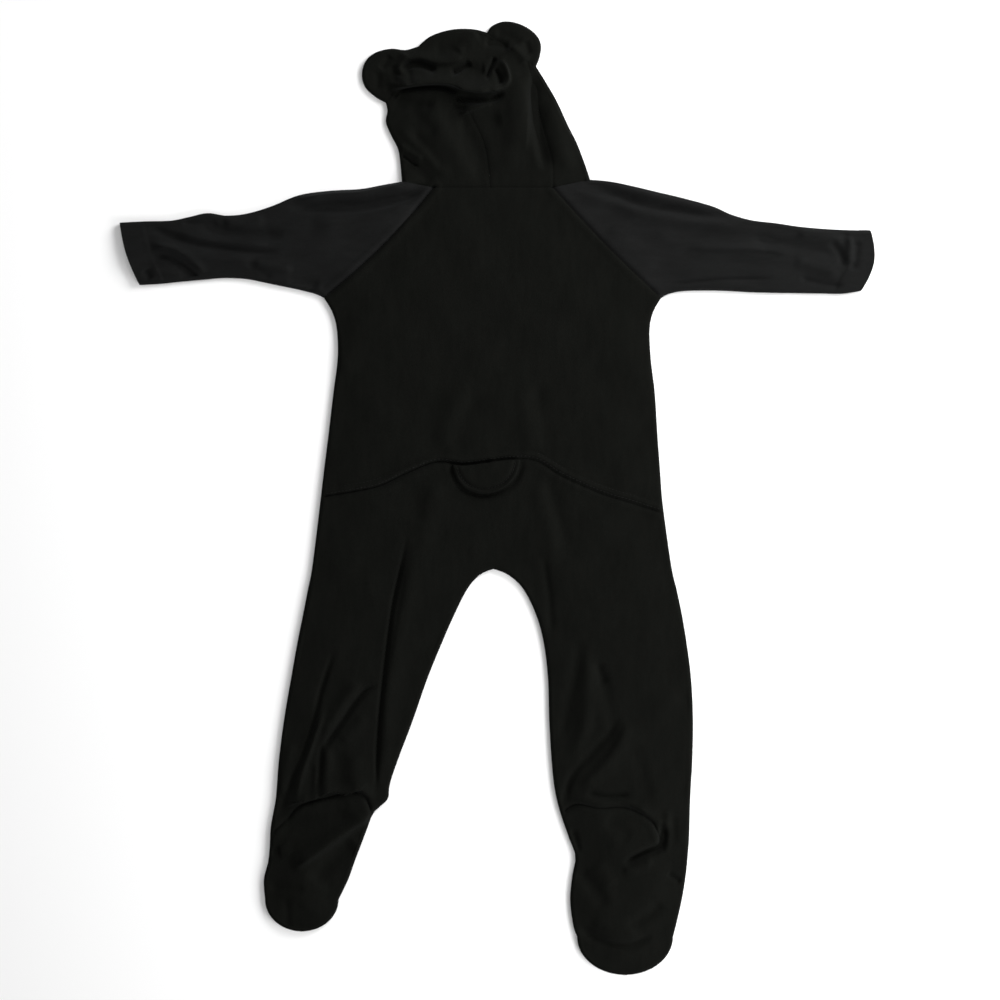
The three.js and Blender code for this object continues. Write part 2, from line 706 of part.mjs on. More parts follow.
// A wall of cloth from its outer surface. Seamed borders are cut upright and stand back from the
// seam; folded ones turn level, so that the back and the front meet edge to edge.
function wall(nets, thickness = CLOTH, floorZ = INSIDE_Z) {
  const surface = weld(nets);
  const { points, quads } = surface;
  const normals = points.map(() => new THREE.Vector3());
  for (const { quad } of quads) {
    const [a, b, c, d] = quad.map((i) => points[i]);
    const n = c.clone().sub(a).cross(d.clone().sub(b));
    quad.forEach((i) => normals[i].add(n));
  }
  const border = borderOf(surface);
  const ways = points.map(() => []);
  const rims = points.map(() => false);
  const facing = points.map(() => ({ up: false, down: false }));
  for (const { quad, down } of quads) quad.forEach((i) => (facing[i][down ? "down" : "up"] = true));
  for (const { a, b, out } of border) {
    const onRim = [a, b].every((i) => inset(points[i].x, points[i].y) === 0);
    for (const i of [a, b])
      if (onRim) rims[i] = true;
      else ways[i].push(out);
  }
  const inner = [];
  points.forEach((p, i) => {
    const n = normals[i].normalize();
    if (rims[i]) n.setZ(0).normalize();
    const sum = ways[i].reduce((s, w) => s.add(w), new THREE.Vector2());
    const size = ways[i].length > 1 ? Math.min(2 / sum.lengthSq(), 2.5) : 1;
    if (sum.lengthSq() > 0) {
      const way = sum.clone().normalize();
      const across = n.x * way.x + n.y * way.y;
      n.x -= across * way.x;
      n.y -= across * way.y;
      const corner = ways[i].some((w) => w.dot(way) < STRAIGHT);
      if (corner && !rims[i]) n.set(0, 0, n.z);
      n.normalize();
    }
    const q = p.clone().addScaledVector(n, -thickness);
    const { up, down } = facing[i];
    if (!down) q.z = Math.max(q.z, floorZ);
    if (!up && inset(p.x, p.y) < NEAR_RIM) q.z = Math.min(q.z, FRONT_EDGE_Z);
    for (const r of [p, q]) {
      r.x -= (sum.x * size * SEAM_GAP) / 2;
      r.y -= (sum.y * size * SEAM_GAP) / 2;
    }
    inner.push(q);
  });
  return closed(points, inner, quads, border);
}

// Closes an outer and an inner surface with the same quads into one solid
function closed(outer, inner, quads, border) {
  const count = outer.length;
  const index = [];
  for (const { quad } of quads) {
    const [a, b, c, d] = quad;
    for (const [i, j, k] of [[a, b, c], [a, c, d]]) {
      if (i === j || j === k || i === k) continue;
      index.push(i, j, k, count + i, count + k, count + j);
    }
  }
  for (const { a, b } of border) index.push(b, a, count + a, b, count + a, count + b);
  const geometry = new THREE.BufferGeometry();
  const position = [...outer, ...inner].flatMap((p) => [p.x, p.y, p.z]);
  geometry.setAttribute("position", new THREE.Float32BufferAttribute(position, 3));
  geometry.setIndex(index);
  geometry.computeVertexNormals();
  return geometry;
}

// Seams as paths that end exactly on the edges

function shareAtY(path, y) {
  let low = 0;
  let high = 1;
  for (let i = 0; i < 40; i++) {
    const middle = (low + high) / 2;
    if (along(path, middle).y > y) low = middle;
    else high = middle;
  }
  return (low + high) / 2;
}

const seatLeftShare = shareAtY(leftOuter, SEAT_SEAM[0].y);
const seatRightShare = shareAtY(rightOuter, last(SEAT_SEAM).y);
const crotchLeftShare = shareAtY(leftOuter, CROTCH.y);
const crotchRightShare = shareAtY(rightOuter, CROTCH.y);
const heelLeftOuter = shareAtY(leftOuter, LEFT_HEEL[0].y);
const heelLeftInner = shareAtY(leftInner, last(LEFT_HEEL).y);
const heelRightOuter = shareAtY(rightOuter, last(RIGHT_HEEL).y);
const heelRightInner = shareAtY(rightInner, RIGHT_HEEL[0].y);

function seamPath(rows, start, end) {
  const points = column(rows, "x", "y");
  points[0] = start;
  points[points.length - 1] = end;
  return points;
}

const seatPoints = seamPath(
  SEAT_SEAM,
  along(leftOuter, seatLeftShare),
  along(rightOuter, seatRightShare),
);
const seatLeft = spline(seatPoints.slice(0, SEAT_MIDDLE + 1));
const seatRight = spline(seatPoints.slice(SEAT_MIDDLE));
const seatMiddle = seatPoints[SEAT_MIDDLE];
const leftHeel = spline(
  seamPath(LEFT_HEEL, along(leftOuter, heelLeftOuter), along(leftInner, heelLeftInner)),
);
const rightHeel = spline(
  seamPath(RIGHT_HEEL, along(rightInner, heelRightInner), along(rightOuter, heelRightOuter)),
);
const leftRaglan = bowed(leftArmpit, LEFT_NECK, -LEFT_RAGLAN_BOW);
const rightRaglan = bowed(rightArmpit, RIGHT_NECK, RIGHT_RAGLAN_BOW);
const neckMiddle = { x: (LEFT_NECK.x + RIGHT_NECK.x) / 2, y: (LEFT_NECK.y + RIGHT_NECK.y) / 2 };
const armpitMiddle = { x: seatMiddle.x, y: leftArmpit.y };
const crotch = vec(CROTCH);

// Cells in each net
const HALF_CELLS = 9; // across half of the body, and a leg
const YOKE_CELLS = [3, 7]; // up a raglan seam: a short part at the underarm, then the rest
const YOKE_PARTS = [0.1, 0.9];
const TORSO_CELLS = 12;
const SEAT_CELLS = 7;
const LEG_CELLS = 19;
const SOLE_CELLS = 7;
const SLEEVE_CELLS = 18;
const NECK_CELLS = 2;
const UNDER_RAGLAN_CELLS = 4;
const raglanShares = parts(YOKE_PARTS, YOKE_CELLS);

// Shares across half of the body, folded at its side, or across a whole leg, folded on both sides
const halfAcross = (left) => (width) => shares(width, HALF_CELLS, left, !left);
const legAcross = (left) => (width, v) => {
  const open = shares(width, HALF_CELLS, left, !left);
  const folded = shares(width, HALF_CELLS - RIM_STEPS.length, true, true);
  const part = smooth((1 - v) * 6);
  return open.map((s, i) => s + (folded[i] - s) * part);
};

// Back of the body, between the neck, the raglan seams, the sides and the seat seam
function backBody() {
  const levels = [straight(leftArmpit, armpitMiddle), straight(armpitMiddle, rightArmpit)];
  const necks = [straight(LEFT_NECK, neckMiddle), straight(neckMiddle, RIGHT_NECK)];
  const upper = straight(armpitMiddle, neckMiddle);
  const lower = straight(seatMiddle, armpitMiddle);
  const sides = [stretch(leftOuter, seatLeftShare, 0), stretch(rightOuter, seatRightShare, 0)];
  const torso = even(TORSO_CELLS);
  const lift = back(BACK_EDGE_Z);
  return wall([
    { rows: net(patch(levels[0], necks[0], leftRaglan, upper), raglanShares, halfAcross(true), lift) },
    { rows: net(patch(levels[1], necks[1], upper, rightRaglan), raglanShares, halfAcross(false), lift) },
    { rows: net(patch(seatLeft, levels[0], sides[0], lower), torso, halfAcross(true), lift) },
    { rows: net(patch(seatRight, levels[1], lower, sides[1]), torso, halfAcross(false), lift) },
  ]);
}

// Seat and backs of the legs, one piece from the seat seam to the heels
function seatNets() {
  const leftLevel = straight(along(leftOuter, crotchLeftShare), crotch);
  const rightLevel = straight(crotch, along(rightOuter, crotchRightShare));
  const middle = straight(crotch, seatMiddle);
  const leftSide = stretch(leftOuter, crotchLeftShare, seatLeftShare);
  const rightSide = stretch(rightOuter, crotchRightShare, seatRightShare);
  const leftLeg = stretch(leftOuter, heelLeftOuter, crotchLeftShare);
  const rightLeg = stretch(rightOuter, heelRightOuter, crotchRightShare);
  const leftInseam = stretch(leftInner, heelLeftInner, 0);
  const rightInseam = stretch(rightInner, heelRightInner, 0);
  const lift = back(BACK_EDGE_Z);
  const seat = even(SEAT_CELLS);
  const leg = closerAtEnd(LEG_CELLS);
  return [
    { rows: net(patch(leftLevel, seatLeft, leftSide, middle), seat, halfAcross(true), lift) },
    { rows: net(patch(rightLevel, seatRight, middle, rightSide), seat, halfAcross(false), lift) },
    { rows: net(patch(leftHeel, leftLevel, leftLeg, leftInseam), leg, legAcross(true), lift) },
    { rows: net(patch(rightHeel, rightLevel, rightInseam, rightLeg), leg, legAcross(false), lift) },
  ];
}

// A foot: a rounded toe, then a patch from there up to a line across the top
const TOE_UPS = [0, 0.18, 0.36, 0.54, 0.7, 0.84, 1]; // from the start of the toe to its tip
const footAcross = (width) => shares(width, HALF_CELLS - RIM_STEPS.length, true, true);
function footNets({ top, left, right, toeCap, ups, across, lift, down }) {
  const start = straight(along(left, 0), along(right, 0));
  const toeAcross = across(start.getLength(), 0);
  return [
    { rows: net(patch(start, top, left, right), ups, across, lift), down },
    { rows: net(cap(toeCap, start), TOE_UPS, () => toeAcross, lift), down },
  ];
}
function sole(heel, [left, right], toeCap) {
  const ups = even(SOLE_CELLS);
  return wall(footNets({ top: heel, left, right, toeCap, ups, across: footAcross, lift: back(BACK_EDGE_Z) }));
}

// A raglan sleeve: one flattened tube, folded along both edges and open at the wrist
function sleeve({ top, bottom, bow, raglan, backNeck, frontNeck, mirrored }) {
  const shoulder = along(top, 1);
  const armpit = along(bottom, 1);
  const wrist = bowed(along(bottom, 0), along(top, 0), bow);
  const wristRun = even(8).map((s) => along(wrist, s));
  const frontRaglan = straight(armpit, frontNeck);
  const backEnd = chain(raglan, straight(backNeck, shoulder));
  const frontEnd = chain(frontRaglan, straight(frontNeck, shoulder));
  const joined = (raglanPath, corner, raglanList) => {
    const long = raglanPath.getLength();
    const short = vec(corner).distanceTo(shoulder);
    const folded = shares(short, NECK_CELLS, false, true);
    return [
      ...raglanList.map((s) => (s * long) / (long + short)),
      ...folded.slice(1).map((s) => (long + s * short) / (long + short)),
    ];
  };
  const backUps = joined(raglan, backNeck, raglanShares);
  const frontUps = joined(frontRaglan, frontNeck, frontRaglanShares);
  const low = mirrored ? stretch(bottom, 1, 0, 40) : bottom;
  const high = mirrored ? stretch(top, 1, 0, 40) : top;
  const across = () => even(SLEEVE_CELLS);
  const plan = (end) => (mirrored ? patch(low, high, end, wrist) : patch(low, high, wrist, end));
  const hemmed = (p) => {
    const q = backPoint(p, FOLD_Z);
    const hem = smooth((HEM_WIDTH - nearest(p.x, p.y, wristRun).distance) / 4);
    q.z += HEM_RISE * hem * smooth(inset(p.x, p.y) / 4);
    return q;
  };
  return wall([
    { rows: net(plan(backEnd), backUps, across, hemmed) },
    { rows: net(plan(frontEnd), frontUps, across, under(FOLD_Z)), down: true },
  ]);
}
const frontRaglanShares = parts([0.02, 0.98], [1, UNDER_RAGLAN_CELLS]);

// The three panels of the hood. Each goes round the outline and ends under it at the face opening.
const HOOD_UP_CELLS = 20;
const HOOD_LAST = [0.965, 0.99, 1]; // narrow cells beside the crown
const HOOD_SIDE_CELLS = 8;
const HOOD_UNDER_CELLS = 3;
const FACE_EASE = 0.13;
const CENTRE_CELLS = [3, 6, 4]; // across an ear base, the crown and the other ear base
const hoodUps = [...even(HOOD_UP_CELLS).map((s) => s * HOOD_LAST[0]), ...HOOD_LAST.slice(1)];
const faceLeft = spline(column(FACE_LEFT, "x", "y"));
const faceRight = spline(column(FACE_RIGHT, "x", "y"));
const faceTopLeft = along(faceLeft, 1);
const faceTopRight = along(faceRight, 1);
const faceTop = spline([faceTopLeft, vec(FACE_TOP), faceTopRight]);

function hoodSide({ edge, seam, face, neck, frontNeck, earLow, earMiddle, faceCorner, left }) {
  const shoulder = along(edge, 0);
  const topLow = chain(straight(shoulder, neck), straight(neck, along(seam, 0)));
  const underLow = chain(straight(shoulder, frontNeck), straight(frontNeck, FRONT_NECK));
  const underHigh = chain(straight(earLow, earMiddle), straight(earMiddle, faceCorner));
  const topHigh = straight(earLow, earMiddle);
  // The face edge is longer than the hood's edge, so its middle is reached sooner.
  const eased = (v) => along(face, v + FACE_EASE * Math.sin(Math.PI * v));
  const flip = (path) => (path instanceof THREE.CurvePath ? backwards(path) : stretch(path, 1, 0, 2));
  const plan = (low, high, end) =>
    left ? patch(low, high, edge, end) : patch(flip(low), flip(high), end, edge);
  const across = (cells) => (width) => shares(width, cells, left, !left);
  return wall([
    { rows: net(plan(topLow, topHigh, seam), hoodUps, across(HOOD_SIDE_CELLS), back(FOLD_Z)) },
    {
      rows: net(plan(underLow, underHigh, eased), hoodUps, across(HOOD_UNDER_CELLS), under(FOLD_Z)),
      down: true,
    },
  ]);
}

// A chain of straight lines, the other way round
function backwards(path) {
  return chain(...[...path.curves].reverse().map((c) => straight(c.v2, c.v1)));
}

function hoodCentre() {
  const lengths = [
    leftEarMiddle.distanceTo(leftEarHigh),
    crown.getLength(),
    rightEarHigh.distanceTo(rightEarMiddle),
  ];
  const across = parts(lengths, CENTRE_CELLS);
  const high = chain(
    straight(leftEarMiddle, leftEarHigh),
    crown,
    straight(rightEarHigh, rightEarMiddle),
  );
  const neck = straight(along(hoodSeamLeft, 0), along(hoodSeamRight, 0));
  const top = patch(neck, high, hoodSeamLeft, hoodSeamRight);
  const below = patch(
    faceTop,
    crown,
    chain(straight(faceTopLeft, leftEarMiddle), straight(leftEarMiddle, leftEarHigh)),
    chain(straight(faceTopRight, rightEarMiddle), straight(rightEarMiddle, rightEarHigh)),
  );
  const underUps = [0, 0.3, 0.6, 0.85, 0.97, 1];
  return wall([
    { rows: net(top, hoodUps, () => across, back(FOLD_Z)) },
    { rows: net(below, underUps, () => even(CENTRE_CELLS[1]), under(FOLD_Z)), down: true },
  ]);
}

// One disc of an ear, sewn in along its base
const EAR_CELLS = 7;
const EAR_UPS = [0, 0.16, 0.32, 0.48, 0.64, 0.78, 0.9, 1]; // from the base to the tip
function ear({ base, rim, lift, down }) {
  const lengths = base.curves.map((c) => c.getLength());
  const whole = lengths[0] + lengths[1];
  const across = parts(lengths, lengths.map((l) => Math.max(1, Math.round((l / whole) * EAR_CELLS))));
  return wall([{ rows: net(cap(rim, base), EAR_UPS, () => across, lift), down }]);
}

// One half of the front with its foot, hidden under the back
const FRONT_CELLS = 3;
const FRONT_TORSO_CELLS = 9;
const FRONT_LEG_CELLS = 12;
function front(left) {
  const outer = left ? leftOuter : rightOuter;
  const inseam = left ? leftInner : rightInner;
  const armpit = left ? leftArmpit : rightArmpit;
  const neck = left ? LEFT_FRONT_NECK : RIGHT_FRONT_NECK;
  const crotchShare = left ? crotchLeftShare : crotchRightShare;
  const middle = straight(CROTCH, FRONT_NECK);
  const armpitOnMiddle = along(middle, (armpit.y - CROTCH.y) / (FRONT_NECK.y - CROTCH.y));
  const across = (width) => {
    const stops = RAISED_STOPS.map((stop) => 1 - Math.min(stop / width, 0.4));
    const to = stops[0];
    const start = [0, ...RIM_STEPS.map((s) => s / width)];
    const from = last(start);
    const fill = even(FRONT_CELLS).slice(1).map((s) => from + (to - from) * s);
    const list = [...start, ...fill, ...stops.slice(1), 1];
    return left ? list : list.map((s) => 1 - s).reverse();
  };
  const legWays = (width, v) => {
    const open = across(width);
    const folded = shares(width, open.length - 1 - 2 * RIM_STEPS.length, true, true);
    const part = smooth((1 - v) * 5);
    return open.map((s, i) => s + (folded[i] - s) * part);
  };
  const pair = (a, b) => (left ? straight(a, b) : straight(b, a));
  const plan = (low, high, side, inner) =>
    left ? patch(low, high, side, inner) : patch(low, high, inner, side);
  const crotchOuter = along(outer, crotchShare);
  const crotchLevel = pair(crotchOuter, crotch);
  const armpitLevel = pair(armpit, armpitOnMiddle);
  const neckLine = pair(neck, FRONT_NECK);
  const yoke = plan(armpitLevel, neckLine, straight(armpit, neck), straight(armpitOnMiddle, FRONT_NECK));
  const torso = plan(
    crotchLevel, armpitLevel, stretch(outer, crotchShare, 0, 40), straight(CROTCH, armpitOnMiddle),
  );
  const toeCap = left ? leftToe : rightToe;
  const sides = [stretch(outer, 1, crotchShare, 40), stretch(inseam, 1, 0, 40)];
  const leg = footNets({
    top: crotchLevel, left: sides[left ? 0 : 1], right: sides[left ? 1 : 0], toeCap,
    ups: closerAtEnd(FRONT_LEG_CELLS), across: legWays, lift: frontPoint, down: true,
  });
  return wall([
    { rows: net(yoke, frontRaglanShares, across, frontPoint), down: true },
    { rows: net(torso, even(FRONT_TORSO_CELLS), across, frontPoint), down: true },
    ...leg,
  ]);
}

// The tail flap: two layers that lie on the seat, hung from the seat seam
const TAIL_ACROSS = 8;
const TAIL_UPS = [0, 0.2, 0.4, 0.58, 0.74, 0.88, 1];
const TAIL_DROP = 1; // below the seat seam
function tail(nets, layer) {
  const height = surfaceHeight(nets);
  const topLeft = shareAtX(seatLeft, TAIL.left);
  const topRight = shareAtX(seatRight, TAIL.right);
  const top = [
    ...even(4).map((s) => along(seatLeft, topLeft + (1 - topLeft) * s)),
    ...even(3).slice(1).map((s) => along(seatRight, topRight * s)),
  ].map((p) => new THREE.Vector2(p.x, p.y - TAIL_DROP));
  const plan = cap(roundEnd(top[0], last(top), TAIL.depth), spline(top));
  const z = FLAP_LIFT + FLAP_CLOTH + layer * (FLAP_CLOTH + SEAM_GAP);
  const lift = (p) => new THREE.Vector3(p.x, p.y, height(p.x, p.y) + z);
  return upright(net(plan, TAIL_UPS, () => even(TAIL_ACROSS), lift), FLAP_CLOTH);
}

function shareAtX(path, x) {
  let low = 0;
  let high = 1;
  for (let i = 0; i < 40; i++) {
    const middle = (low + high) / 2;
    if (along(path, middle).x < x) low = middle;
    else high = middle;
  }
  return (low + high) / 2;
}

// A layer of even height above what it lies on
function upright(rows, thickness) {
  const { points, quads } = weld([{ rows }]);
  const inner = points.map((p) => new THREE.Vector3(p.x, p.y, p.z - thickness));
  return closed(points, inner, quads, borderOf({ points, quads }));
}

// The height of a built surface over a point of the plan, from its own facets
function surfaceHeight(nets) {
  const { points, quads } = weld(nets);
  const facets = quads.flatMap(({ quad: [a, b, c, d] }) => [[a, b, c], [a, c, d]]);
  const corners = facets.map((f) => f.map((i) => points[i]));
  return (x, y) => {
    let height = -Infinity;
    for (const [a, b, c] of corners) {
      const area = (b.x - a.x) * (c.y - a.y) - (c.x - a.x) * (b.y - a.y);
      const s = ((x - a.x) * (c.y - a.y) - (c.x - a.x) * (y - a.y)) / area;
      const t = ((b.x - a.x) * (y - a.y) - (x - a.x) * (b.y - a.y)) / area;
      if (s < -1e-6 || t < -1e-6 || s + t > 1 + 1e-6) continue;
      height = Math.max(height, a.z + s * (b.z - a.z) + t * (c.z - a.z));
    }
    return height;
  };
}

// Assembly

const plain = (color, roughness, metalness = 0) =>
  new THREE.MeshStandardMaterial({ color, roughness, metalness });
const jersey = plain(0x151514, 0.95);
const metal = plain(0x2a2a2c, 0.4, 0.8);

const romper = new THREE.Group();
function add(name, geometry, look = jersey) {
  const mesh = new THREE.Mesh(geometry, look);
  mesh.name = name;
  romper.add(mesh);
  return mesh;
}

add("back_body", backBody());
const seat = seatNets();
add("seat_and_legs", wall(seat));
const leftSides = [stretch(leftOuter, 1, heelLeftOuter, 12), stretch(leftInner, 1, heelLeftInner, 12)];
const rightSides = [stretch(rightInner, 1, heelRightInner, 12), stretch(rightOuter, 1, heelRightOuter, 12)];
add("sole_left", sole(leftHeel, leftSides, leftToe));
add("sole_right", sole(rightHeel, rightSides, rightToe));
add(
  "sleeve_left",
  sleeve({
    top: leftSleeveTop, bottom: leftSleeveBottom, bow: LEFT_WRIST_BOW, raglan: leftRaglan,
    backNeck: LEFT_NECK, frontNeck: LEFT_FRONT_NECK, mirrored: false,
  }),
);
add(
  "sleeve_right",
  sleeve({
    top: rightSleeveTop, bottom: rightSleeveBottom, bow: -RIGHT_WRIST_BOW, raglan: rightRaglan,
    backNeck: RIGHT_NECK, frontNeck: RIGHT_FRONT_NECK, mirrored: true,
  }),
);
add("hood_middle", hoodCentre());
add(
  "hood_side_left",
  hoodSide({
    edge: hoodLeft, seam: hoodSeamLeft, face: faceLeft, neck: LEFT_NECK, frontNeck: LEFT_FRONT_NECK,
    earLow: leftEarLow, earMiddle: leftEarMiddle, faceCorner: faceTopLeft, left: true,
  }),
);
add(
  "hood_side_right",
  hoodSide({
    edge: hoodRight, seam: hoodSeamRight, face: faceRight, neck: RIGHT_NECK, frontNeck: RIGHT_FRONT_NECK,
    earLow: rightEarLow, earMiddle: rightEarMiddle, faceCorner: faceTopRight, left: false,
  }),
);
const leftBase = chain(straight(leftEarLow, leftEarMiddle), straight(leftEarMiddle, leftEarHigh));
const rightBase = chain(straight(rightEarHigh, rightEarMiddle), straight(rightEarMiddle, rightEarLow));
for (const [side, base, rim] of [["left", leftBase, leftEarRim], ["right", rightBase, rightEarRim]]) {
  add("ear_" + side + "_back", ear({ base, rim, lift: back(BACK_EDGE_Z), down: false }));
  add("ear_" + side + "_front", ear({ base, rim, lift: under(FRONT_EDGE_Z), down: true }));
}
add("tail_under", tail(seat, 0));
add("tail_outer", tail(seat, 1));
add("front_left", front(true));
add("front_right", front(false));

// The closing runs from the neck towards the crotch, along the middle line of the fronts
const slant = Math.atan2(CROTCH.x - FRONT_NECK.x, FRONT_NECK.y - CROTCH.y);
const onMiddle = (y) => {
  const share = (y - CROTCH.y) / (FRONT_NECK.y - CROTCH.y);
  return CROTCH.x + (FRONT_NECK.x - CROTCH.x) * share;
};
const strip = add(
  "placket",
  new THREE.BoxGeometry(PLACKET.width, PLACKET.top - PLACKET.low, FLAP_CLOTH),
);
const stripY = (PLACKET.top + PLACKET.low) / 2;
strip.position.set(onMiddle(stripY), stripY, RAISED_Z + CLOTH + SEAM_GAP + FLAP_CLOTH / 2);
strip.rotation.z = slant;
for (let i = 0; i < STUD_COUNT; i++) {
  const y = STUD_TOP_Y + ((STUD_LOW_Y - STUD_TOP_Y) * i) / (STUD_COUNT - 1);
  const shape = new THREE.CylinderGeometry(STUD_RADIUS, STUD_RADIUS, STUD_HEIGHT, 12);
  const stud = add("stud_" + (i + 1), shape, metal);
  stud.rotation.x = Math.PI / 2;
  stud.position.set(onMiddle(y), y, STUD_HEIGHT / 2);
}

export default romper;
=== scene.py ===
"""A baby's black hooded romper with feet, lying face down: its cloth, seams and stitches.

The panels follow the same section tables as the CAD part, in millimetres, in a finer net. Each is
a thin wall whose height comes from the flattened tube of the garment and from the table of folds.
"""

import math

import bpy
import numpy as np
from mathutils.kdtree import KDTree
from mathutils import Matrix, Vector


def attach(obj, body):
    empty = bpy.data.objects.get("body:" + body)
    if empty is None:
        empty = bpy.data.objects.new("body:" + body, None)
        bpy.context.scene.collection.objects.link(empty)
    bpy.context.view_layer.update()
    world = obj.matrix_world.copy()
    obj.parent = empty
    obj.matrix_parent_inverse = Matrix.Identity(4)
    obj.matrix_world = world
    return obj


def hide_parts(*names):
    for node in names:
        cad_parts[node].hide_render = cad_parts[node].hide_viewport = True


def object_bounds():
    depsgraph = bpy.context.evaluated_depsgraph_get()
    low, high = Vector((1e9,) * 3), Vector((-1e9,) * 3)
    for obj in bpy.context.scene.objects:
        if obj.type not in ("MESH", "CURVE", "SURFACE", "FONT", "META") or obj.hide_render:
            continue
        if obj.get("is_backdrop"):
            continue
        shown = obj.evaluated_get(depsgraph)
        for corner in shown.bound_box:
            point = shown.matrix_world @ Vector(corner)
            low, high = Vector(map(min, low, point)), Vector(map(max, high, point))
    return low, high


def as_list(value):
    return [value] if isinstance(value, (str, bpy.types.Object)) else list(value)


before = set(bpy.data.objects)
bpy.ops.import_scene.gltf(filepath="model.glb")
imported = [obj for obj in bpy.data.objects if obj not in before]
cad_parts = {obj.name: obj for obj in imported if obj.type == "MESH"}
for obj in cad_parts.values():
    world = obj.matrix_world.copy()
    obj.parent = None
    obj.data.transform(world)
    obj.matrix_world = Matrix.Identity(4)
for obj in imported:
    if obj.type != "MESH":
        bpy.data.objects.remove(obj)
cad_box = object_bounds()

MM = 0.001

# Cloth and seams, in millimetres
CLOTH = 1.5
FLAP_CLOTH = 1.0
LAYER_GAP = 0.3
THIN_GAP = 0.1
SEAM_GAP = 0.08
FOLD_Z = 1.75
EDGE_RISE = 2.6
EDGE_RADIUS = 3.2
LOFT = 1.8
LOFT_REACH = 38
HOOD_LOFT = 3
FOOT_LOFT = 3.5
LEAST_BACK_Z = 4.3
FOLD_FADE = 4
HOOD_FADE = 3.5
HEM_WIDTH = 22
HEM_RISE = 0.7
HEM_STEP = 1.5
HEM_STITCH_DIP = 0.5
HEM_STITCH_IN = 1.2
HEM_STITCH_WIDTH = 0.8
BACK_EDGE_Z = FOLD_Z + LAYER_GAP / 2
FRONT_EDGE_Z = FOLD_Z - LAYER_GAP / 2
INSIDE_Z = CLOTH + 0.4
HOOD_FROM = 268
FOOT_FROM = -250
BLEND = 40

# Net sizes
RIM_STEPS = (0.5, 1.1, 2.0, 3.4)
RIM_SHARES = (0.008, 0.02, 0.04, 0.07)
ON_RIM = 0.1
NEAR_RIM = 2
SHORTEST_WAY = 0.9
MOST_SHIFT = 2.5
END_EASE = 0.45
CURVE_SAMPLES = 24
WELD_CELLS = 50
WELD_SHIFT = 0.737
LEG_BLEND = 6
FRONT_LEG_BLEND = 5

# Front closing
STUD_COUNT = 8
STUD_RADIUS = 5
STUD_HEIGHT = 0.6
STUD_TOP_Y = 212
STUD_LOW_Y = -20
RAISED_Z = STUD_HEIGHT + LAYER_GAP
RAISED_STOPS = (14, 8)
RAISED_END = 14
RAISED_RUN = 12
PLACKET_WIDTH = 22
PLACKET_TOP = 222
PLACKET_LOW = -34
PLACKET_WAVE = 0.1
PLACKET_WAVE_ALONG = 9
PLACKET_WAVE_ACROSS = 7

# Sections of the body laid flat: y, left edge, right edge
TORSO = [
    (172, -149.6, 140.2),
    (160, -142.5, 133.5),
    (145, -138.5, 130.3),
    (120, -137.8, 131.3),
    (90, -141.5, 134.8),
    (55, -145.6, 137),
    (25, -149.4, 139.2),
    (0, -152.3, 141),
    (-30, -155.9, 144.8),
    (-62, -160, 149.6),
]
CROTCH = (-4, -61)

# Sections of the legs and feet: y, outer edge, inner edge
LEFT_LEG = [
    (-66, -160.6, -15.5),
    (-78, -163.2, -26.2),
    (-100, -167.5, -37.4),
    (-125, -172.5, -48.4),
    (-156, -178, -61),
    (-190, -183.8, -72.8),
    (-225, -188.3, -86),
    (-246, -189.9, -93),
    (-259, -191, -95),
]
RIGHT_LEG = [
    (-66, 150.4, 8.6),
    (-78, 153.4, 21.6),
    (-100, 158, 32.6),
    (-125, 162.2, 39.4),
    (-156, 166, 43),
    (-190, 167.6, 44),
    (-225, 167, 46),
    (-250, 165.6, 48.7),
]
LEFT_FOOT = [
    (-270, -193, -106.6),
    (-284, -195.4, -112.4),
    (-300, -196.2, -118.4),
    (-313, -197.6, -123.4),
    (-328, -201.2, -128.8),
    (-345, -200.2, -137),
]
RIGHT_FOOT = [
    (-270, 164.8, 53.4),
    (-292, 164.2, 61),
    (-308, 163, 66.6),
    (-324, 161.4, 64),
    (-345, 158, 62),
    (-367, 153, 64.6),
    (-377, 150.4, 68),
]
LEFT_TOE_DEPTH = 27.4
RIGHT_TOE_DEPTH = 32.8

# Sections of the sleeves, from the wrist: top edge x and y, bottom edge x and y
LEFT_SLEEVE = [
    (-325, 236.5, -308, 183),
    (-303, 237.6, -290, 184),
    (-282, 238.2, -270, 186),
    (-265, 241.6, -252, 187.6),
    (-250, 244.8, -235, 189),
    (-234, 242.7, -217, 188.2),
    (-216, 244.4, -203, 185.6),
    (-195, 250.6, -190, 182.8),
    (-171, 260.2, -178, 180.4),
    (-145, 264, -168, 178.2),
    (-118, 265.6, -160, 176.2),
    (-97, 269.4, -154, 174.2),
    (-82.6, 271.8, -149.6, 172),
]
RIGHT_SLEEVE = [
    (320, 230, 312, 178),
    (300, 230.3, 296, 175.5),
    (280, 231.3, 277, 175.7),
    (259, 233.2, 256, 176),
    (238, 236.3, 236, 176.2),
    (218, 238.7, 216, 176.8),
    (200, 243.8, 199, 177.8),
    (184, 250.8, 186, 178.2),
    (158, 258, 173, 178.2),
    (136, 263.2, 162, 178),
    (115, 268.2, 152, 176.8),
    (96, 272, 145, 174.6),
    (79.1, 273.5, 140.2, 172),
]
LEFT_WRIST_BOW = 2.6
RIGHT_WRIST_BOW = 7

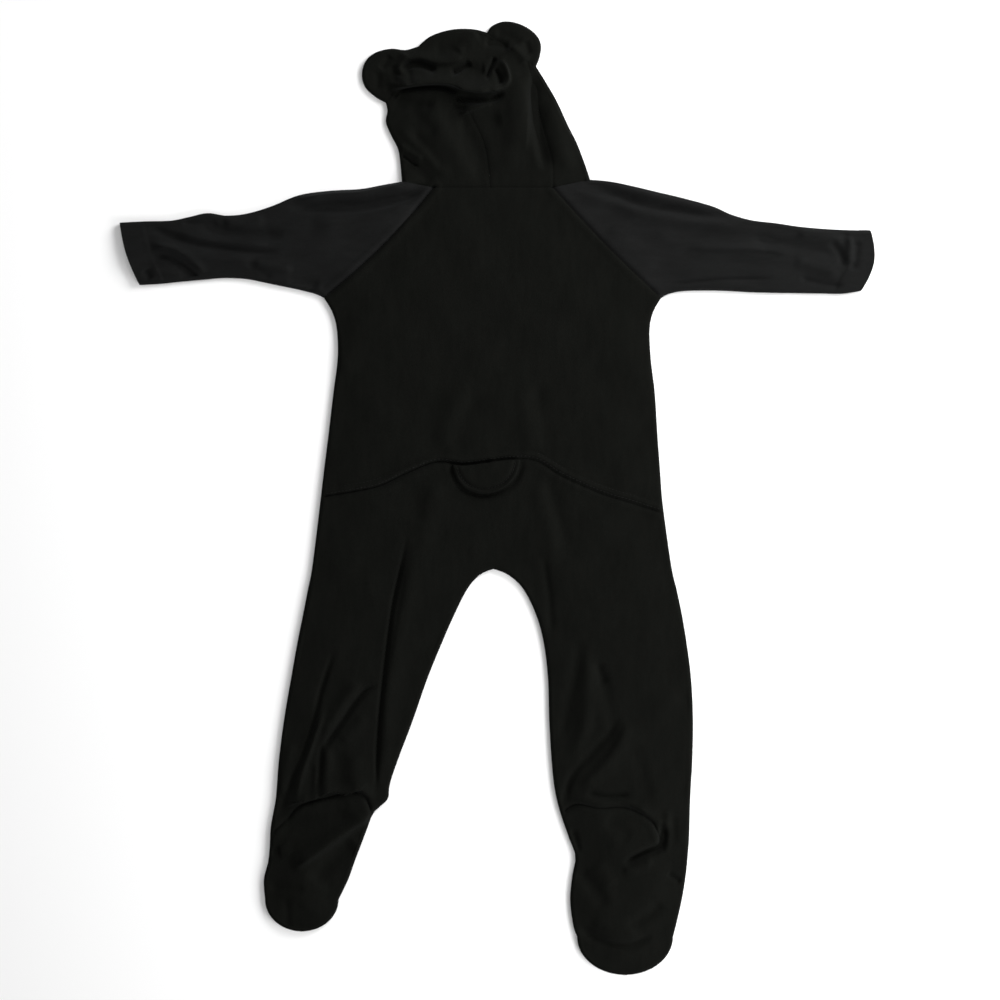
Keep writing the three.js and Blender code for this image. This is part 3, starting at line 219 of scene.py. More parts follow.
# Stations of the hood, from the neck: left edge, left seam, right seam and right edge, x and y each
HOOD = [
    (-82.6, 271.8, -7, 266.6, 47.3, 266.6, 79.1, 273.5),
    (-84, 288, -8.6, 286.4, 46.9, 286.4, 75, 286),
    (-86, 300, -12, 303.6, 43, 303.6, 68, 304.4),
    (-92, 312, -20.6, 323.4, 37.5, 323, 60.2, 320),
    (-96.3, 323, -34.4, 344.9, 33, 340, 50.7, 340.6),
    (-95, 332.5, -56.8, 357.8, 29.5, 357, 41, 357.5),
    (-96.3, 339.5, -81.7, 361.2, 25.5, 374.6, 32.7, 370.7),
]
CROWN = [
    (-68.8, 388),
    (-58.5, 396.5),
    (-44.7, 401.6),
    (-31.8, 403.3),
    (-18.9, 402.5),
    (-9.5, 399.9),
]
LEFT_EAR = [
    (-96.3, 339.5),
    (-105.8, 344.9),
    (-113.8, 352.6),
    (-117, 363),
    (-114, 375),
    (-105.4, 382.7),
    (-92, 386.1),
    (-79.5, 385),
    (-68.8, 388),
]
RIGHT_EAR = [
    (-9.5, 399.9),
    (-5.2, 405.6),
    (4.3, 409.4),
    (15.5, 408.3),
    (27, 403),
    (34.6, 395.6),
    (37, 387.6),
    (35.6, 378.4),
    (32.7, 370.7),
]

# Seams on the back
LEFT_NECK = (-55, 266.6)
RIGHT_NECK = (47.3, 266.6)
LEFT_RAGLAN_BOW = 4
RIGHT_RAGLAN_BOW = 2
SEAT_SEAM = [
    (-152.2, 0.9),
    (-125.6, 5.2),
    (-101.5, 10.3),
    (-75.7, 22.4),
    (-52, 31),
    (-30, 28.6),
    (-8.6, 31),
    (12, 33.4),
    (32, 32.4),
    (55, 18.9),
    (87.7, 4.3),
    (115.2, -4.3),
    (141.9, -12.9),
]
SEAT_MIDDLE = 6
LEFT_HEEL = [
    (-196, -290),
    (-181, -275.4),
    (-168.6, -263.4),
    (-147.9, -257.4),
    (-125.6, -252),
    (-114, -257.4),
    (-107.6, -272.5),
]
RIGHT_HEEL = [
    (54, -272),
    (61.1, -265.9),
    (70, -262.8),
    (87.7, -266.2),
    (106.6, -265.4),
    (121, -270),
    (131.6, -277.4),
    (137.6, -288),
    (145, -306),
    (161.6, -322.5),
]
TAIL_LEFT = -38.7
TAIL_RIGHT = 18.9
TAIL_DEPTH = 27
TAIL_DROP = 1

# Seams on the front, which is hidden under the back
FRONT_NECK = (-1.7, 227.9)
LEFT_FRONT_NECK = (-62.8, 249.4)
RIGHT_FRONT_NECK = (55.9, 249.4)
FACE_LEFT = [(-1.7, 227.9), (-24, 249), (-45, 279), (-58, 316), (-50, 346)]
FACE_RIGHT = [(-1.7, 227.9), (18, 248), (38, 278), (49, 312), (25, 345)]
FACE_TOP = (-7, 366)
FACE_EASE = 0.13

# Folds: points, height and width. Where the fall is steeper on one side, a row goes on with how much
# it narrows there, that side, and how far the crest leans towards it. Left and right are those of
# the way that the points run.
SLEEVE_FOLDS = [
    ([(-303, 235), (-287, 227), (-272, 222), (-252, 217), (-220, 213), (-184, 210)], -3.4, 3.4),
    ([(-305, 221), (-287, 215), (-268, 210), (-248, 206), (-225, 205), (-201, 203)], 3.2, 5),
    ([(-280, 228), (-257, 223), (-237, 219), (-217, 217), (-194, 217)], 1.8, 4),
    ([(-258, 234), (-238, 229), (-218, 227), (-182, 226)], -3.2, 5),
    ([(-237, 236), (-218, 236), (-199, 240)], 2.2, 5),
    ([(-298, 216), (-281, 214), (-266, 206), (-250, 192)], 2.6, 4, 0.5, "right", 0),
    ([(-297, 210), (-283, 208), (-270, 199), (-255, 186)], -3.4, 4.4, 0.4, "left", 0),
    ([(-299, 197), (-283, 192), (-269, 189)], 1.2, 5),
    ([(-217, 204), (-206, 196), (-194, 189)], -1, 3),
    ([(-211, 203), (-195, 199), (-175, 195)], 2, 5),
    ([(-272, 238), (-257, 235), (-240, 235)], -2, 3.4),
    ([(-304, 196), (-298, 187)], -1.6, 3),
    (
        [(-182, 246), (-148, 248), (-121, 248), (-101, 251), (-83, 256), (-60, 265)],
        -4.4, 8, 0.4, "right", 0,
    ),
    ([(-178, 253), (-145, 260), (-117, 262), (-97, 266), (-66, 269)], 6.5, 5),
    ([(-162, 236), (-125, 236), (-92, 243), (-68, 252)], 3.4, 11, 0.7, "left", 0),
    ([(-181, 182), (-165, 184), (-153, 182)], -1.6, 5),
    ([(-160, 177), (-150, 181)], 1.6, 3),
    ([(68, 265), (97, 261), (122, 252), (150, 246), (175, 243), (204, 240)], -3.2, 9, 0.4, "right", 0),
    ([(60, 262), (97, 255), (121, 245), (150, 240), (178, 237), (214, 235)], 3, 6, 0.8, "left", 0),
    ([(82, 271), (118, 263), (158, 253), (196, 244)], 3, 5),
    ([(137, 227), (165, 225), (201, 225), (242, 221)], -2.2, 7),
    ([(160, 214), (200, 214), (230, 213), (256, 209)], 2.8, 4.5, 0.6, "right", 0),
    ([(153, 203), (192, 202), (232, 201), (260, 199)], -1.2, 5),
    ([(216, 222), (257, 216), (282, 210), (297, 199)], -2.8, 6),
    ([(255, 227), (281, 225), (298, 218)], 2.2, 5),
    ([(253, 205), (277, 197), (294, 191)], 2.2, 5),
    ([(285, 222), (293, 211), (298, 196)], -2.8, 3.4),
    ([(301, 226), (302, 213), (301, 201)], 2.2, 3),
    ([(308, 223), (307, 208), (304, 194)], -2, 3.4),
    ([(258, 189), (280, 184), (298, 182)], -2, 2.6),
    ([(140, 183), (164, 185), (184, 187), (209, 188), (240, 188)], -1.6, 1.6),
    ([(148, 179), (183, 181), (228, 182)], 0.9, 4),
    ([(93, 230), (115, 212), (137, 194)], 1.4, 10),
]
BODY_FOLDS = [
    ([(-18, 103), (-37, 76), (-49, 34)], 1.5, 8),
    ([(-36, 104), (-56, 78), (-62, 39)], -0.8, 8),
    ([(-15, 90), (-31, 64), (-37, 36)], -0.7, 7),
    ([(20, 96), (31, 35)], 1, 8),
    ([(32, 100), (44, 35)], -0.9, 7),
    ([(-115, 164), (-135, 102)], 1.4, 11),
    ([(109, 158), (121, 94)], 1, 12),
    ([(-43, 256), (-23, 208), (-19, 158)], 0.7, 16),
    ([(60, 240), (44, 190), (40, 120)], 0.6, 18),
]
LEG_FOLDS = [
    ([(-53, 22), (-60, -21), (-71, -68), (-81, -106)], 1.7, 10),
    ([(-65, 12), (-73, -22)], -0.9, 8),
    (
        [(-40.5, 36), (-39, 22), (-33, 11), (-24, 5), (-10, 2), (5, 6), (15, 15), (20, 26), (21, 38)],
        -2.4, 2.2,
    ),
    ([(-77, -28), (-84, -63), (-91, -96), (-99, -161), (-103, -206), (-105, -262)], -3.6, 1.5),
    ([(-71, -36), (-79, -80), (-86, -118), (-93, -160), (-97, -205), (-99, -256)], 1.5, 7, 0.5, "right", 0),
    ([(-100, -160), (-113, -165), (-123, -176), (-134, -192), (-143, -205), (-153, -219)], -3.2, 2.4),
    ([(-116, -155), (-129, -170), (-140, -187), (-152, -206)], 2.7, 6, 0.7, "left", 0),
    ([(-113, -186), (-125, -200), (-135, -210)], 1.5, 6),
    ([(-151, -208), (-153, -235), (-155, -263)], -2.3, 2.2),
    ([(-146, -213), (-146, -233), (-148, -255)], 1.2, 3.6),
    ([(-138, -214), (-136, -236), (-134, -254)], -1.4, 6),
    ([(-123, -218), (-121, -248)], 1.4, 6),
    ([(-140, -128), (-153, -169), (-159, -196), (-168, -223), (-178, -244), (-188, -270)], -2.4, 2.2),
    ([(-148, -178), (-160, -213), (-168, -237), (-174, -262)], 2.9, 4.4, 0.6, "left", 0),
    ([(-159, -226), (-161, -246), (-160, -267)], -1.5, 3.6),
    ([(-176, -207), (-184, -242), (-186, -258)], 1.5, 4.4),
    ([(40, 22), (50, -12), (60, -48)], -1.2, 6),
    ([(33, 18), (42, -22), (50, -58)], 1.4, 8),
    ([(38, -46), (44, -85), (46, -120)], -1.4, 3.2),
    ([(70, -116), (67, -147), (61, -174), (54, -212)], -1.4, 5),
    ([(77, -126), (77, -167), (73, -200), (60, -230)], 2, 6),
    ([(85, -141), (91, -161)], -2, 4),
    ([(89, -150), (95, -178), (98, -200)], -1.2, 5),
    ([(105, -185), (96, -202), (83, -217), (69, -232), (60, -246), (57, -266)], -2.9, 3),
    ([(114, -190), (101, -215), (86, -234), (68, -250)], 3.2, 8, 0.5, "right", 0),
    ([(115, -208), (125, -242), (129, -264)], -0.9, 6),
    ([(75, -252), (93, -256), (114, -255)], -3.2, 2.4),
    ([(138, -278), (142, -288), (139, -299), (129, -303), (119, -308), (107, -315)], -6.5, 3),
    ([(150, -272), (151, -300)], -1.4, 4),
    ([(146, -267), (145, -285)], 1.1, 3),
]
FOOT_FOLDS = [
    (
        [(-186, -266), (-172, -259), (-158, -256), (-144, -250), (-130, -252), (-118, -248), (-107, -260)],
        5, 4, 0.35, "right", 2.4,
    ),
    ([(-192, -281), (-168, -279), (-149, -277), (-124, -268)], -3.2, 9),
    ([(-102, -269), (-120, -279), (-137, -291), (-155, -304), (-178, -319)], 6.2, 7, 0.5, "left", 0),
    ([(-122, -294), (-142, -309), (-161, -330)], -3.2, 8),
    ([(-187, -298), (-179, -308)], 1.2, 7),
    ([(-201, -305), (-186, -303)], -1.6, 4),
    ([(-198, -333), (-164, -336)], -1.2, 4),
    ([(-182, -342), (-180, -372)], -1.1, 4),
    ([(-150, -330), (-166, -356)], 1.1, 9),
    (
        [(60, -263), (70, -259), (88, -261), (106, -260), (122, -266), (137, -279)],
        1.6, 3.4, 0.5, "right", 0.6,
    ),
    ([(91, -276), (115, -292)], -1.2, 6),
    ([(134, -310), (120, -317), (106, -320)], 1.6, 4),
    ([(68, -318), (81, -334), (94, -352)], -2.1, 6),
    ([(84, -312), (98, -334)], 1.2, 7),
    ([(68, -368), (84, -378), (98, -383), (114, -383), (134, -375)], -3.2, 3.2),
    ([(79, -363), (101, -370), (121, -368)], 1.6, 6),
    ([(142, -347), (125, -360), (108, -368)], -1.9, 5),
    ([(145, -322), (157, -330)], -1.8, 2.4),
    ([(64, -284), (69, -305)], -2.1, 3),
]
HOOD_FOLDS = [
    (
        [(-97, 350), (-82, 355), (-60, 358), (-42, 358), (-30, 354), (-14, 351), (6, 351)],
        10, 7, 0.36, "right", 4,
    ),
    ([(-36, 355), (-16, 354), (4, 354)], 3, 6, 0.6, "right", 2),
    ([(-8, 353), (2, 352), (8, 358), (7, 367), (2, 377)], 4.4, 3.4, 0.6, "right", 1),
    ([(2, 354), (1, 361), (-3, 369)], -3.6, 1.8),
    ([(-11, 359), (-7, 368), (-2, 379)], -4.5, 1.8),
    ([(-84, 367), (-73, 372), (-63, 371), (-52, 366)], -6.5, 2.8),
    ([(-41, 365), (-34, 367), (-23, 374)], -8, 2),
    ([(-84, 376), (-68, 379), (-54, 375), (-40, 375), (-26, 382)], 3.6, 5, 0.6, "right", 1),
    ([(-28, 371), (-18, 366), (-10, 366)], -2.6, 6),
    ([(-56, 383), (-44, 386), (-31, 387), (-22, 384)], -2, 6),
    ([(-35, 381), (-26, 392), (-16, 399)], 2.4, 6),
    ([(-89, 349), (-76, 352), (-58, 353.5), (-43, 352), (-33, 346)], -6, 2.2),
    ([(-92, 342), (-77, 339), (-62, 337), (-54, 334)], -3.2, 6),
    ([(-40, 344), (-22, 341), (-5, 342), (6, 349)], -6, 2.8),
    ([(-41, 338), (-35, 335), (-27, 334)], -2, 2.6),
    ([(-34, 329), (-18, 335), (-3, 341)], 3.6, 3, 0.6, "right", 1),
    ([(-36, 320), (-13, 323), (4, 326)], -2.6, 7),
    ([(-46, 345), (-40, 332), (-31, 316), (-21, 300), (-15, 284), (-12, 266)], -3.4, 11),
    ([(-60, 343), (-56, 328), (-46, 310), (-36, 296), (-29, 282), (-25, 268)], 2.2, 13, 0.8, "left", 0),
    ([(-77, 338), (-70, 330), (-62, 321), (-52, 311)], -1.4, 6),
    ([(-89, 322), (-71, 305), (-53, 287), (-39, 269)], 2, 6),
    ([(-76, 316), (-60, 299), (-44, 280)], -1.6, 4),
    ([(-79, 290), (-65, 278), (-57, 268)], -1.4, 5),
    ([(-88, 299), (-78, 291), (-68, 284)], -3.6, 1),
    ([(-86, 304), (-76, 297), (-64, 289)], 1.8, 3),
    ([(25, 371), (25, 347), (24, 325), (22, 296)], 3, 12, 0.25, "left", 1),
    ([(27, 366), (28, 348), (30, 333), (33, 316), (37, 299), (42, 278)], -5, 8, 0.5, "right", 0),
    ([(42, 344), (50, 323), (56, 298), (64, 276)], 2.6, 9),
    ([(14, 372), (14, 348), (13, 316), (11, 274)], 1.6, 8),
    ([(-85, 363), (-82, 373), (-78, 383)], 3, 4),
    ([(-101, 368), (-92, 380)], -1.8, 3),
    ([(-103, 366), (-103, 350)], -1.4, 3),
    ([(-90, 372), (-88, 356)], -1.6, 3),
    ([(-77, 368), (-75, 356)], -2, 3),
    ([(-96, 353), (-86, 344)], -1.8, 3),
    ([(-12, 392), (-1, 390), (10, 387)], -3.4, 4),
    ([(-3, 398), (10, 395), (20, 388)], -1.6, 5),
    ([(11, 388), (19, 381), (25, 373)], 2.8, 4),
    ([(23, 393), (27, 380)], -1.8, 3),
]
FOLDS = SLEEVE_FOLDS + BODY_FOLDS + LEG_FOLDS + FOOT_FOLDS + HOOD_FOLDS
FOLD_TAPER = 0.2
EVEN_FALL = (1, "left", 0)


# Paths in plan


class Path:
    """A run of points, taken by share of its length."""

    def __init__(self, points):
        points = np.asarray(points, float)
        steps = np.linalg.norm(np.diff(points, axis=0), axis=1)
        moved = steps > 1e-9
        self.points = points[np.append(True, moved)]
        self.lengths = np.append(0, np.cumsum(steps[moved]))
        self.length = self.lengths[-1]

    def at(self, shares):
        s = np.clip(shares, 0, 1) * self.length
        return np.stack([np.interp(s, self.lengths, self.points[:, k]) for k in (0, 1)], -1)


def spline(points):
    p = np.asarray(points, float)
    t = np.linspace(0, len(p) - 1, (len(p) - 1) * CURVE_SAMPLES + 1)
    i = np.minimum(t.astype(int), len(p) - 2)
    w = (t - i)[:, None]
    start = p[i]
    end = p[i + 1]
    leave = (end - p[np.maximum(i - 1, 0)]) / 2
    arrive = (p[np.minimum(i + 2, len(p) - 1)] - start) / 2
    return Path(
        (2 * start - 2 * end + leave + arrive) * w**3
        + (3 * end - 3 * start - 2 * leave - arrive) * w**2
        + leave * w
        + start
    )


def straight(a, b):
    return Path([a, b])


def chain(*paths):
    return Path(np.concatenate([p.points for p in paths]))


def backwards(path):
    return Path(path.points[::-1])


def stretch(path, start, end):
    return Path(path.at(np.linspace(start, end, 400)))


def bowed(a, b, bow):
    a, b = np.asarray(a, float), np.asarray(b, float)
    across = np.array([a[1] - b[1], b[0] - a[0]]) / np.linalg.norm(b - a)
    s = np.linspace(0, 1, 5)[:, None]
    return spline(a + (b - a) * s + across * bow * np.sin(math.pi * s))


def round_end(left, right, depth):
    angle = math.pi * (1 - np.linspace(0, 1, 97))[:, None]
    middle = np.add(left, right) / 2
    half = np.subtract(right, left) / 2
    return Path(middle + half * np.cos(angle) - (0, depth) * np.sin(angle))


def column(rows, x, y):
    return [(row[x], row[y]) for row in rows]


def share_where(path, value, axis):
    """The share of a path's length where it crosses a value of x or y."""
    shares = np.linspace(0, 1, 4001)
    return float(shares[np.argmin(np.abs(path.at(shares)[:, axis] - value))])


left_armpit = (TORSO[0][1], TORSO[0][0])
right_armpit = (TORSO[0][2], TORSO[0][0])
left_outer = spline(column(TORSO, 1, 0) + column(LEFT_LEG[1:], 1, 0) + column(LEFT_FOOT, 1, 0))
right_outer = spline(column(TORSO, 2, 0) + column(RIGHT_LEG[1:], 1, 0) + column(RIGHT_FOOT, 1, 0))
left_inner = spline([CROTCH] + column(LEFT_LEG, 2, 0) + column(LEFT_FOOT, 2, 0))
right_inner = spline([CROTCH] + column(RIGHT_LEG, 2, 0) + column(RIGHT_FOOT, 2, 0))


def toe(foot, depth):
    y, outer, inner = foot[-1]
    return round_end((min(outer, inner), y), (max(outer, inner), y), depth)


left_toe = toe(LEFT_FOOT, LEFT_TOE_DEPTH)
right_toe = toe(RIGHT_FOOT, RIGHT_TOE_DEPTH)
left_sleeve_top = spline(column(LEFT_SLEEVE, 0, 1))
left_sleeve_bottom = spline(column(LEFT_SLEEVE, 2, 3))
right_sleeve_top = spline(column(RIGHT_SLEEVE, 0, 1))
right_sleeve_bottom = spline(column(RIGHT_SLEEVE, 2, 3))
hood_left = spline(column(HOOD, 0, 1))
hood_seam_left = spline(column(HOOD, 2, 3))
hood_seam_right = spline(column(HOOD, 4, 5))
hood_right = spline(column(HOOD, 6, 7))
crown = spline(CROWN)
left_ear_rim = spline(LEFT_EAR)
right_ear_rim = spline(RIGHT_EAR)
left_ear_low, left_ear_middle, left_ear_high = hood_left.at(1), hood_seam_left.at(1), crown.at(0)
right_ear_high, right_ear_middle, right_ear_low = crown.at(1), hood_seam_right.at(1), hood_right.at(1)
face_left = spline(FACE_LEFT)
face_right = spline(FACE_RIGHT)
face_top = spline([FACE_LEFT[-1], FACE_TOP, FACE_RIGHT[-1]])
left_raglan = bowed(left_armpit, LEFT_NECK, -LEFT_RAGLAN_BOW)
right_raglan = bowed(right_armpit, RIGHT_NECK, RIGHT_RAGLAN_BOW)

seat_left_share = share_where(left_outer, SEAT_SEAM[0][1], 1)
seat_right_share = share_where(right_outer, SEAT_SEAM[-1][1], 1)
crotch_left_share = share_where(left_outer, CROTCH[1], 1)
crotch_right_share = share_where(right_outer, CROTCH[1], 1)
heel_left_outer = share_where(left_outer, LEFT_HEEL[0][1], 1)
heel_left_inner = share_where(left_inner, LEFT_HEEL[-1][1], 1)
heel_right_outer = share_where(right_outer, RIGHT_HEEL[-1][1], 1)
heel_right_inner = share_where(right_inner, RIGHT_HEEL[0][1], 1)
seat_ends = [left_outer.at(seat_left_share), right_outer.at(seat_right_share)]
seat_points = [seat_ends[0], *SEAT_SEAM[1:-1], seat_ends[1]]
seat_left = spline(seat_points[: SEAT_MIDDLE + 1])
seat_right = spline(seat_points[SEAT_MIDDLE:])
seat_middle = seat_points[SEAT_MIDDLE]
left_heel = spline([left_outer.at(heel_left_outer), *LEFT_HEEL[1:-1], left_inner.at(heel_left_inner)])
right_heel = spline(
    [right_inner.at(heel_right_inner), *RIGHT_HEEL[1:-1], right_outer.at(heel_right_outer)]
)

# Distances


def nearest(xy, run):
    """Distance from each point to a run, the share of the run there, and the side and the way of it."""
    best = np.full(len(xy), np.inf)
    share, side = np.zeros(len(xy)), np.ones(len(xy))
    way = np.zeros((len(xy), 2))
    count = len(run) - 1
    for i in range(count):
        a, d = run[i], run[i + 1] - run[i]
        size = math.hypot(*d)
        t = np.clip(((xy - a) @ d) / size**2, 0, 1)
        e = xy - a - t[:, None] * d
        distance = np.hypot(e[:, 0], e[:, 1])
        closer = distance < best
        best = np.where(closer, distance, best)
        share = np.where(closer, (i + t) / count, share)
        side = np.where(closer, np.where(d[0] * e[:, 1] - d[1] * e[:, 0] >= 0, 1, -1), side)
        way[closer] = d / size
    return best, share, side, way


class Runs:
    """Finds the distance to the nearest of several paths."""

    def __init__(self, paths, step=1.0):
        self.points, self.after = [], []
        for path in paths:
            count = math.ceil(path.length / step)
            run = path.at(np.linspace(0, 1, count + 1))
            self.points.append(run)
            self.after.append(np.concatenate([np.diff(run, axis=0), np.zeros((1, 2))]))
        self.points = np.concatenate(self.points)
        self.after = np.concatenate(self.after)
        self.before = np.concatenate([np.zeros((1, 2)), -self.after[:-1]])
        self.tree = KDTree(len(self.points))
        for i, (x, y) in enumerate(self.points):
            self.tree.insert((x, y, 0), i)
        self.tree.balance()

    def distance(self, xy):
        index = np.array([self.tree.find((x, y, 0))[1] for x, y in xy])
        off = xy - self.points[index]
        best = np.hypot(off[:, 0], off[:, 1])
        for d in (self.after[index], self.before[index]):
            size = np.maximum((d**2).sum(1), 1e-12)
            t = np.clip((off * d).sum(1) / size, 0, 1)
            e = off - t[:, None] * d
            best = np.minimum(best, np.hypot(e[:, 0], e[:, 1]))
        return best


OUTLINE = Runs(
    [
        left_outer, right_outer, left_inner, right_inner, left_toe, right_toe,
        left_sleeve_top, left_sleeve_bottom, right_sleeve_top, right_sleeve_bottom,
        hood_left, hood_right, crown, left_ear_rim, right_ear_rim,
    ]
)
RIGHT_HEEL_SHOWN = 0.78
LEFT_EAR_BASE = (left_ear_low, left_ear_middle, left_ear_high)
RIGHT_EAR_BASE = (right_ear_high, right_ear_middle, right_ear_low)


def lines(*corners):
    return [straight(a, b) for a, b in zip(corners, corners[1:])]


# Seam lines of the back by how deep they draw in, as a share of the deepest
SEAMS = [
    (1, Runs([left_raglan, seat_left])),
    (0.8, Runs([left_heel, stretch(right_heel, 0, RIGHT_HEEL_SHOWN)])),
    (0.55, Runs([right_raglan, seat_right])),
    (0.35, Runs(lines(hood_left.at(0), LEFT_NECK, RIGHT_NECK, hood_right.at(0)))),
    (0.14, Runs([hood_seam_left, hood_seam_right, *lines(*LEFT_EAR_BASE), *lines(*RIGHT_EAR_BASE)])),
]


def inset(xy):
    d = OUTLINE.distance(xy)
    return np.where(d < ON_RIM, 0, d)


# Heights


def smooth(t):
    c = np.clip(t, 0, 1)
    return c * c * (3 - 2 * c)


def bell(distance, width):
    return np.exp(-((distance / width) ** 2))


FOLD_RUNS = [spline(f[0]).at(np.linspace(0, 1, 19)) for f in FOLDS]
seat_whole = chain(seat_left, seat_right)
SEAT_RUN = seat_whole.at(np.linspace(0, 1, 81))


def folds_at(xy):
    """How high the folds lift each point, and how far they push it aside."""
    rise, push = np.zeros(len(xy)), np.zeros((len(xy), 2))
    for (_, height, width, *steeper), run in zip(FOLDS, FOLD_RUNS):
        steep, side, lean = steeper or EVEN_FALL
        reach = 3 * width
        near = ((xy > run.min(0) - reach) & (xy < run.max(0) + reach)).all(1)
        if not near.any():
            continue
        distance, share, on, way = nearest(xy[near], run)
        steep_side = 1 if side == "left" else -1
        fall = np.where(on == steep_side, width * steep, width)
        taper = smooth(share / FOLD_TAPER) * smooth((1 - share) / FOLD_TAPER)
        amount = taper * bell(distance, fall)
        rise[near] += height * amount
        if lean:
            across = np.stack([-way[:, 1], way[:, 0]], -1) * steep_side
            push[near] += across * (lean * amount)[:, None]
    return rise, push


SEAM_DIP = 2.2
SEAM_DIP_WIDTH = 1.2
HIDDEN_SEAM_RISE = 5
SEAM_ROLL = 0.5
SEAM_ROLL_AT = 4.5
SEAM_ROLL_WIDTH = 2.5

# The seat's seam allowance: height, distance above the seam and width of its roll and of its edge
SEAT_ROLL = [(0.9, 3.4, 1.7), (-0.5, 6.6, 0.8)]
SEAT_REACH = (-30, 50)
PUCKERS = 31
PUCKER_HEIGHT = 0.22
PUCKER_REACH = 7

# Slow swells of the lying cloth: height, wavelengths along x and y, and phase
SWELLS = [
    (0.3, 61, 83, 0.4),
    (0.2, -52, 76, 1.9),
    (0.08, 41, -57, 4.1),
    (0.04, -29, 34, 2.7),
]


def seat_roll(xy):
    """The seat's turned-up seam allowance, stitched down above the seam line, and its puckers."""
    near = (xy[:, 1] > SEAT_REACH[0]) & (xy[:, 1] < SEAT_REACH[1])
    off, share, side, _ = nearest(xy[near], SEAT_RUN)
    turned = sum(height * bell(off - place, width) for height, place, width in SEAT_ROLL)
    along = 2 * math.pi * share
    waves = np.sin(PUCKERS * along + 1.4 * np.sin(7 * along)) * (0.6 + 0.4 * np.sin(3 * along + 1))
    roll = np.zeros(len(xy))
    roll[near] = np.where(side > 0, turned, 0) + PUCKER_HEIGHT * waves * bell(off, PUCKER_REACH)
    return roll


def back_points(xy, edge_z):
    """The outer face of the back layer over points of the plan."""
    d = inset(xy)
    turn = np.sqrt(1 - (1 - np.minimum(d / EDGE_RADIUS, 1)) ** 2)
    hood = smooth((xy[:, 1] - HOOD_FROM) / BLEND)
    foot = smooth((FOOT_FROM - xy[:, 1]) / BLEND)
    loft = LOFT + (HOOD_LOFT - LOFT) * hood + (FOOT_LOFT - LOFT) * foot
    fade = smooth(d / (FOLD_FADE + (HOOD_FADE - FOLD_FADE) * hood))
    rise, push = folds_at(xy)
    for height, x, y, phase in SWELLS:
        rise += height * np.sin(2 * math.pi * (xy[:, 0] / x + xy[:, 1] / y) + phase)
    sewn = np.zeros(len(xy))
    for depth, runs in SEAMS:
        seam = runs.distance(xy)
        sewn += depth * SEAM_ROLL * bell(seam - SEAM_ROLL_AT, SEAM_ROLL_WIDTH)
        sewn -= depth * SEAM_DIP * bell(seam, SEAM_DIP_WIDTH)
    sewn *= 1 - smooth(rise / HIDDEN_SEAM_RISE)
    sewn += seat_roll(xy)
    lying = edge_z + EDGE_RISE * turn
    z = lying + loft * smooth(d / LOFT_REACH) + (rise + sewn) * fade
    least = np.where(d < EDGE_RADIUS, lying, LEAST_BACK_Z - SEAM_DIP)
    return np.column_stack([xy + push * fade[:, None], np.maximum(z, least)])


def under_points(xy, edge_z):
    turn = 1 - np.sqrt(1 - (1 - np.minimum(inset(xy) / edge_z, 1)) ** 2)
    return np.column_stack([xy, edge_z * turn])


def front_points(xy):
    points = under_points(xy, FRONT_EDGE_Z)
    off = nearest(xy, np.array([FRONT_NECK, CROTCH], float))[0]
    outer, inner = RAISED_STOPS
    run = smooth((xy[:, 1] - PLACKET_LOW + RAISED_END) / RAISED_RUN)
    points[:, 2] += RAISED_Z * smooth((outer - off) / (outer - inner)) * run
    return points


def back(edge_z):
    return lambda xy: back_points(xy, edge_z)


def under(edge_z):
    return lambda xy: under_points(xy, edge_z)


# Nets


def even(cells):
    return np.linspace(0, 1, cells + 1)


def closer_at_end(cells):
    s = even(cells)
    return s * (1 + END_EASE * (1 - s))


def closer_to_rim(cells, power):
    return 1 - (1 - even(cells)) ** power


def shares(length, cells, start_folded, end_folded):
    rim = [min(step / length, share) for step, share in zip(RIM_STEPS, RIM_SHARES)]
    start = [0, *rim] if start_folded else [0]
    end = [1 - s for s in [0, *rim]][::-1] if end_folded else [1]
    middle = np.linspace(start[-1], end[0], cells + 1)[1:-1]
    return np.array([*start, *middle, *end])


def parts(lengths, cells):
    stops = np.append(0, np.cumsum(lengths)) / sum(lengths)
    pieces = [np.linspace(a, b, n + 1)[1:] for a, b, n in zip(stops, stops[1:], cells)]
    return np.concatenate([[0], *pieces])


def patch(low, high, left, right):
    corners = [low.at(0), low.at(1), high.at(0), high.at(1)]

    def at(u, v):
        c = np.asarray(u)[:, None]
        ruled = (1 - v) * low.at(u) + v * high.at(u) + (1 - c) * left.at(v) + c * right.at(v)
        ends = (1 - c) * ((1 - v) * corners[0] + v * corners[2])
        return ruled - ends - c * ((1 - v) * corners[1] + v * corners[3])

    return at


def cap(rim, base):
    start, end = base.at(0), base.at(1)

    def at(u, v):
        c = np.asarray(u)[:, None]
        chord = rim.at(v / 2) * (1 - c) + rim.at(1 - v / 2) * c
        return chord + (base.at(u) - start * (1 - c) - end * c) * (1 - v)

    return at


def net(at, ups, across, lift, down=False):
    rows = []
    for v in ups:
        low, middle, high = at(np.array([0, 0.5, 1]), v)
        width = np.linalg.norm(middle - low) + np.linalg.norm(high - middle)
        rows.append(at(across(width, v), v))
    plan = np.array(rows)
    points = lift(plan.reshape(-1, 2))
    return {"points": points, "shape": plan.shape[:2], "down": down}


def cloth_area(nets):
    """The cloth in the nets together, with its folds pressed out, in square metres."""
    total = 0
    for n in nets:
        p = n["points"].reshape(*n["shape"], 3)
        ac = p[1:, 1:] - p[:-1, :-1]
        bd = p[1:, :-1] - p[:-1, 1:]
        total += np.linalg.norm(np.cross(ac, bd), axis=-1).sum() / 2
    return total * MM * MM


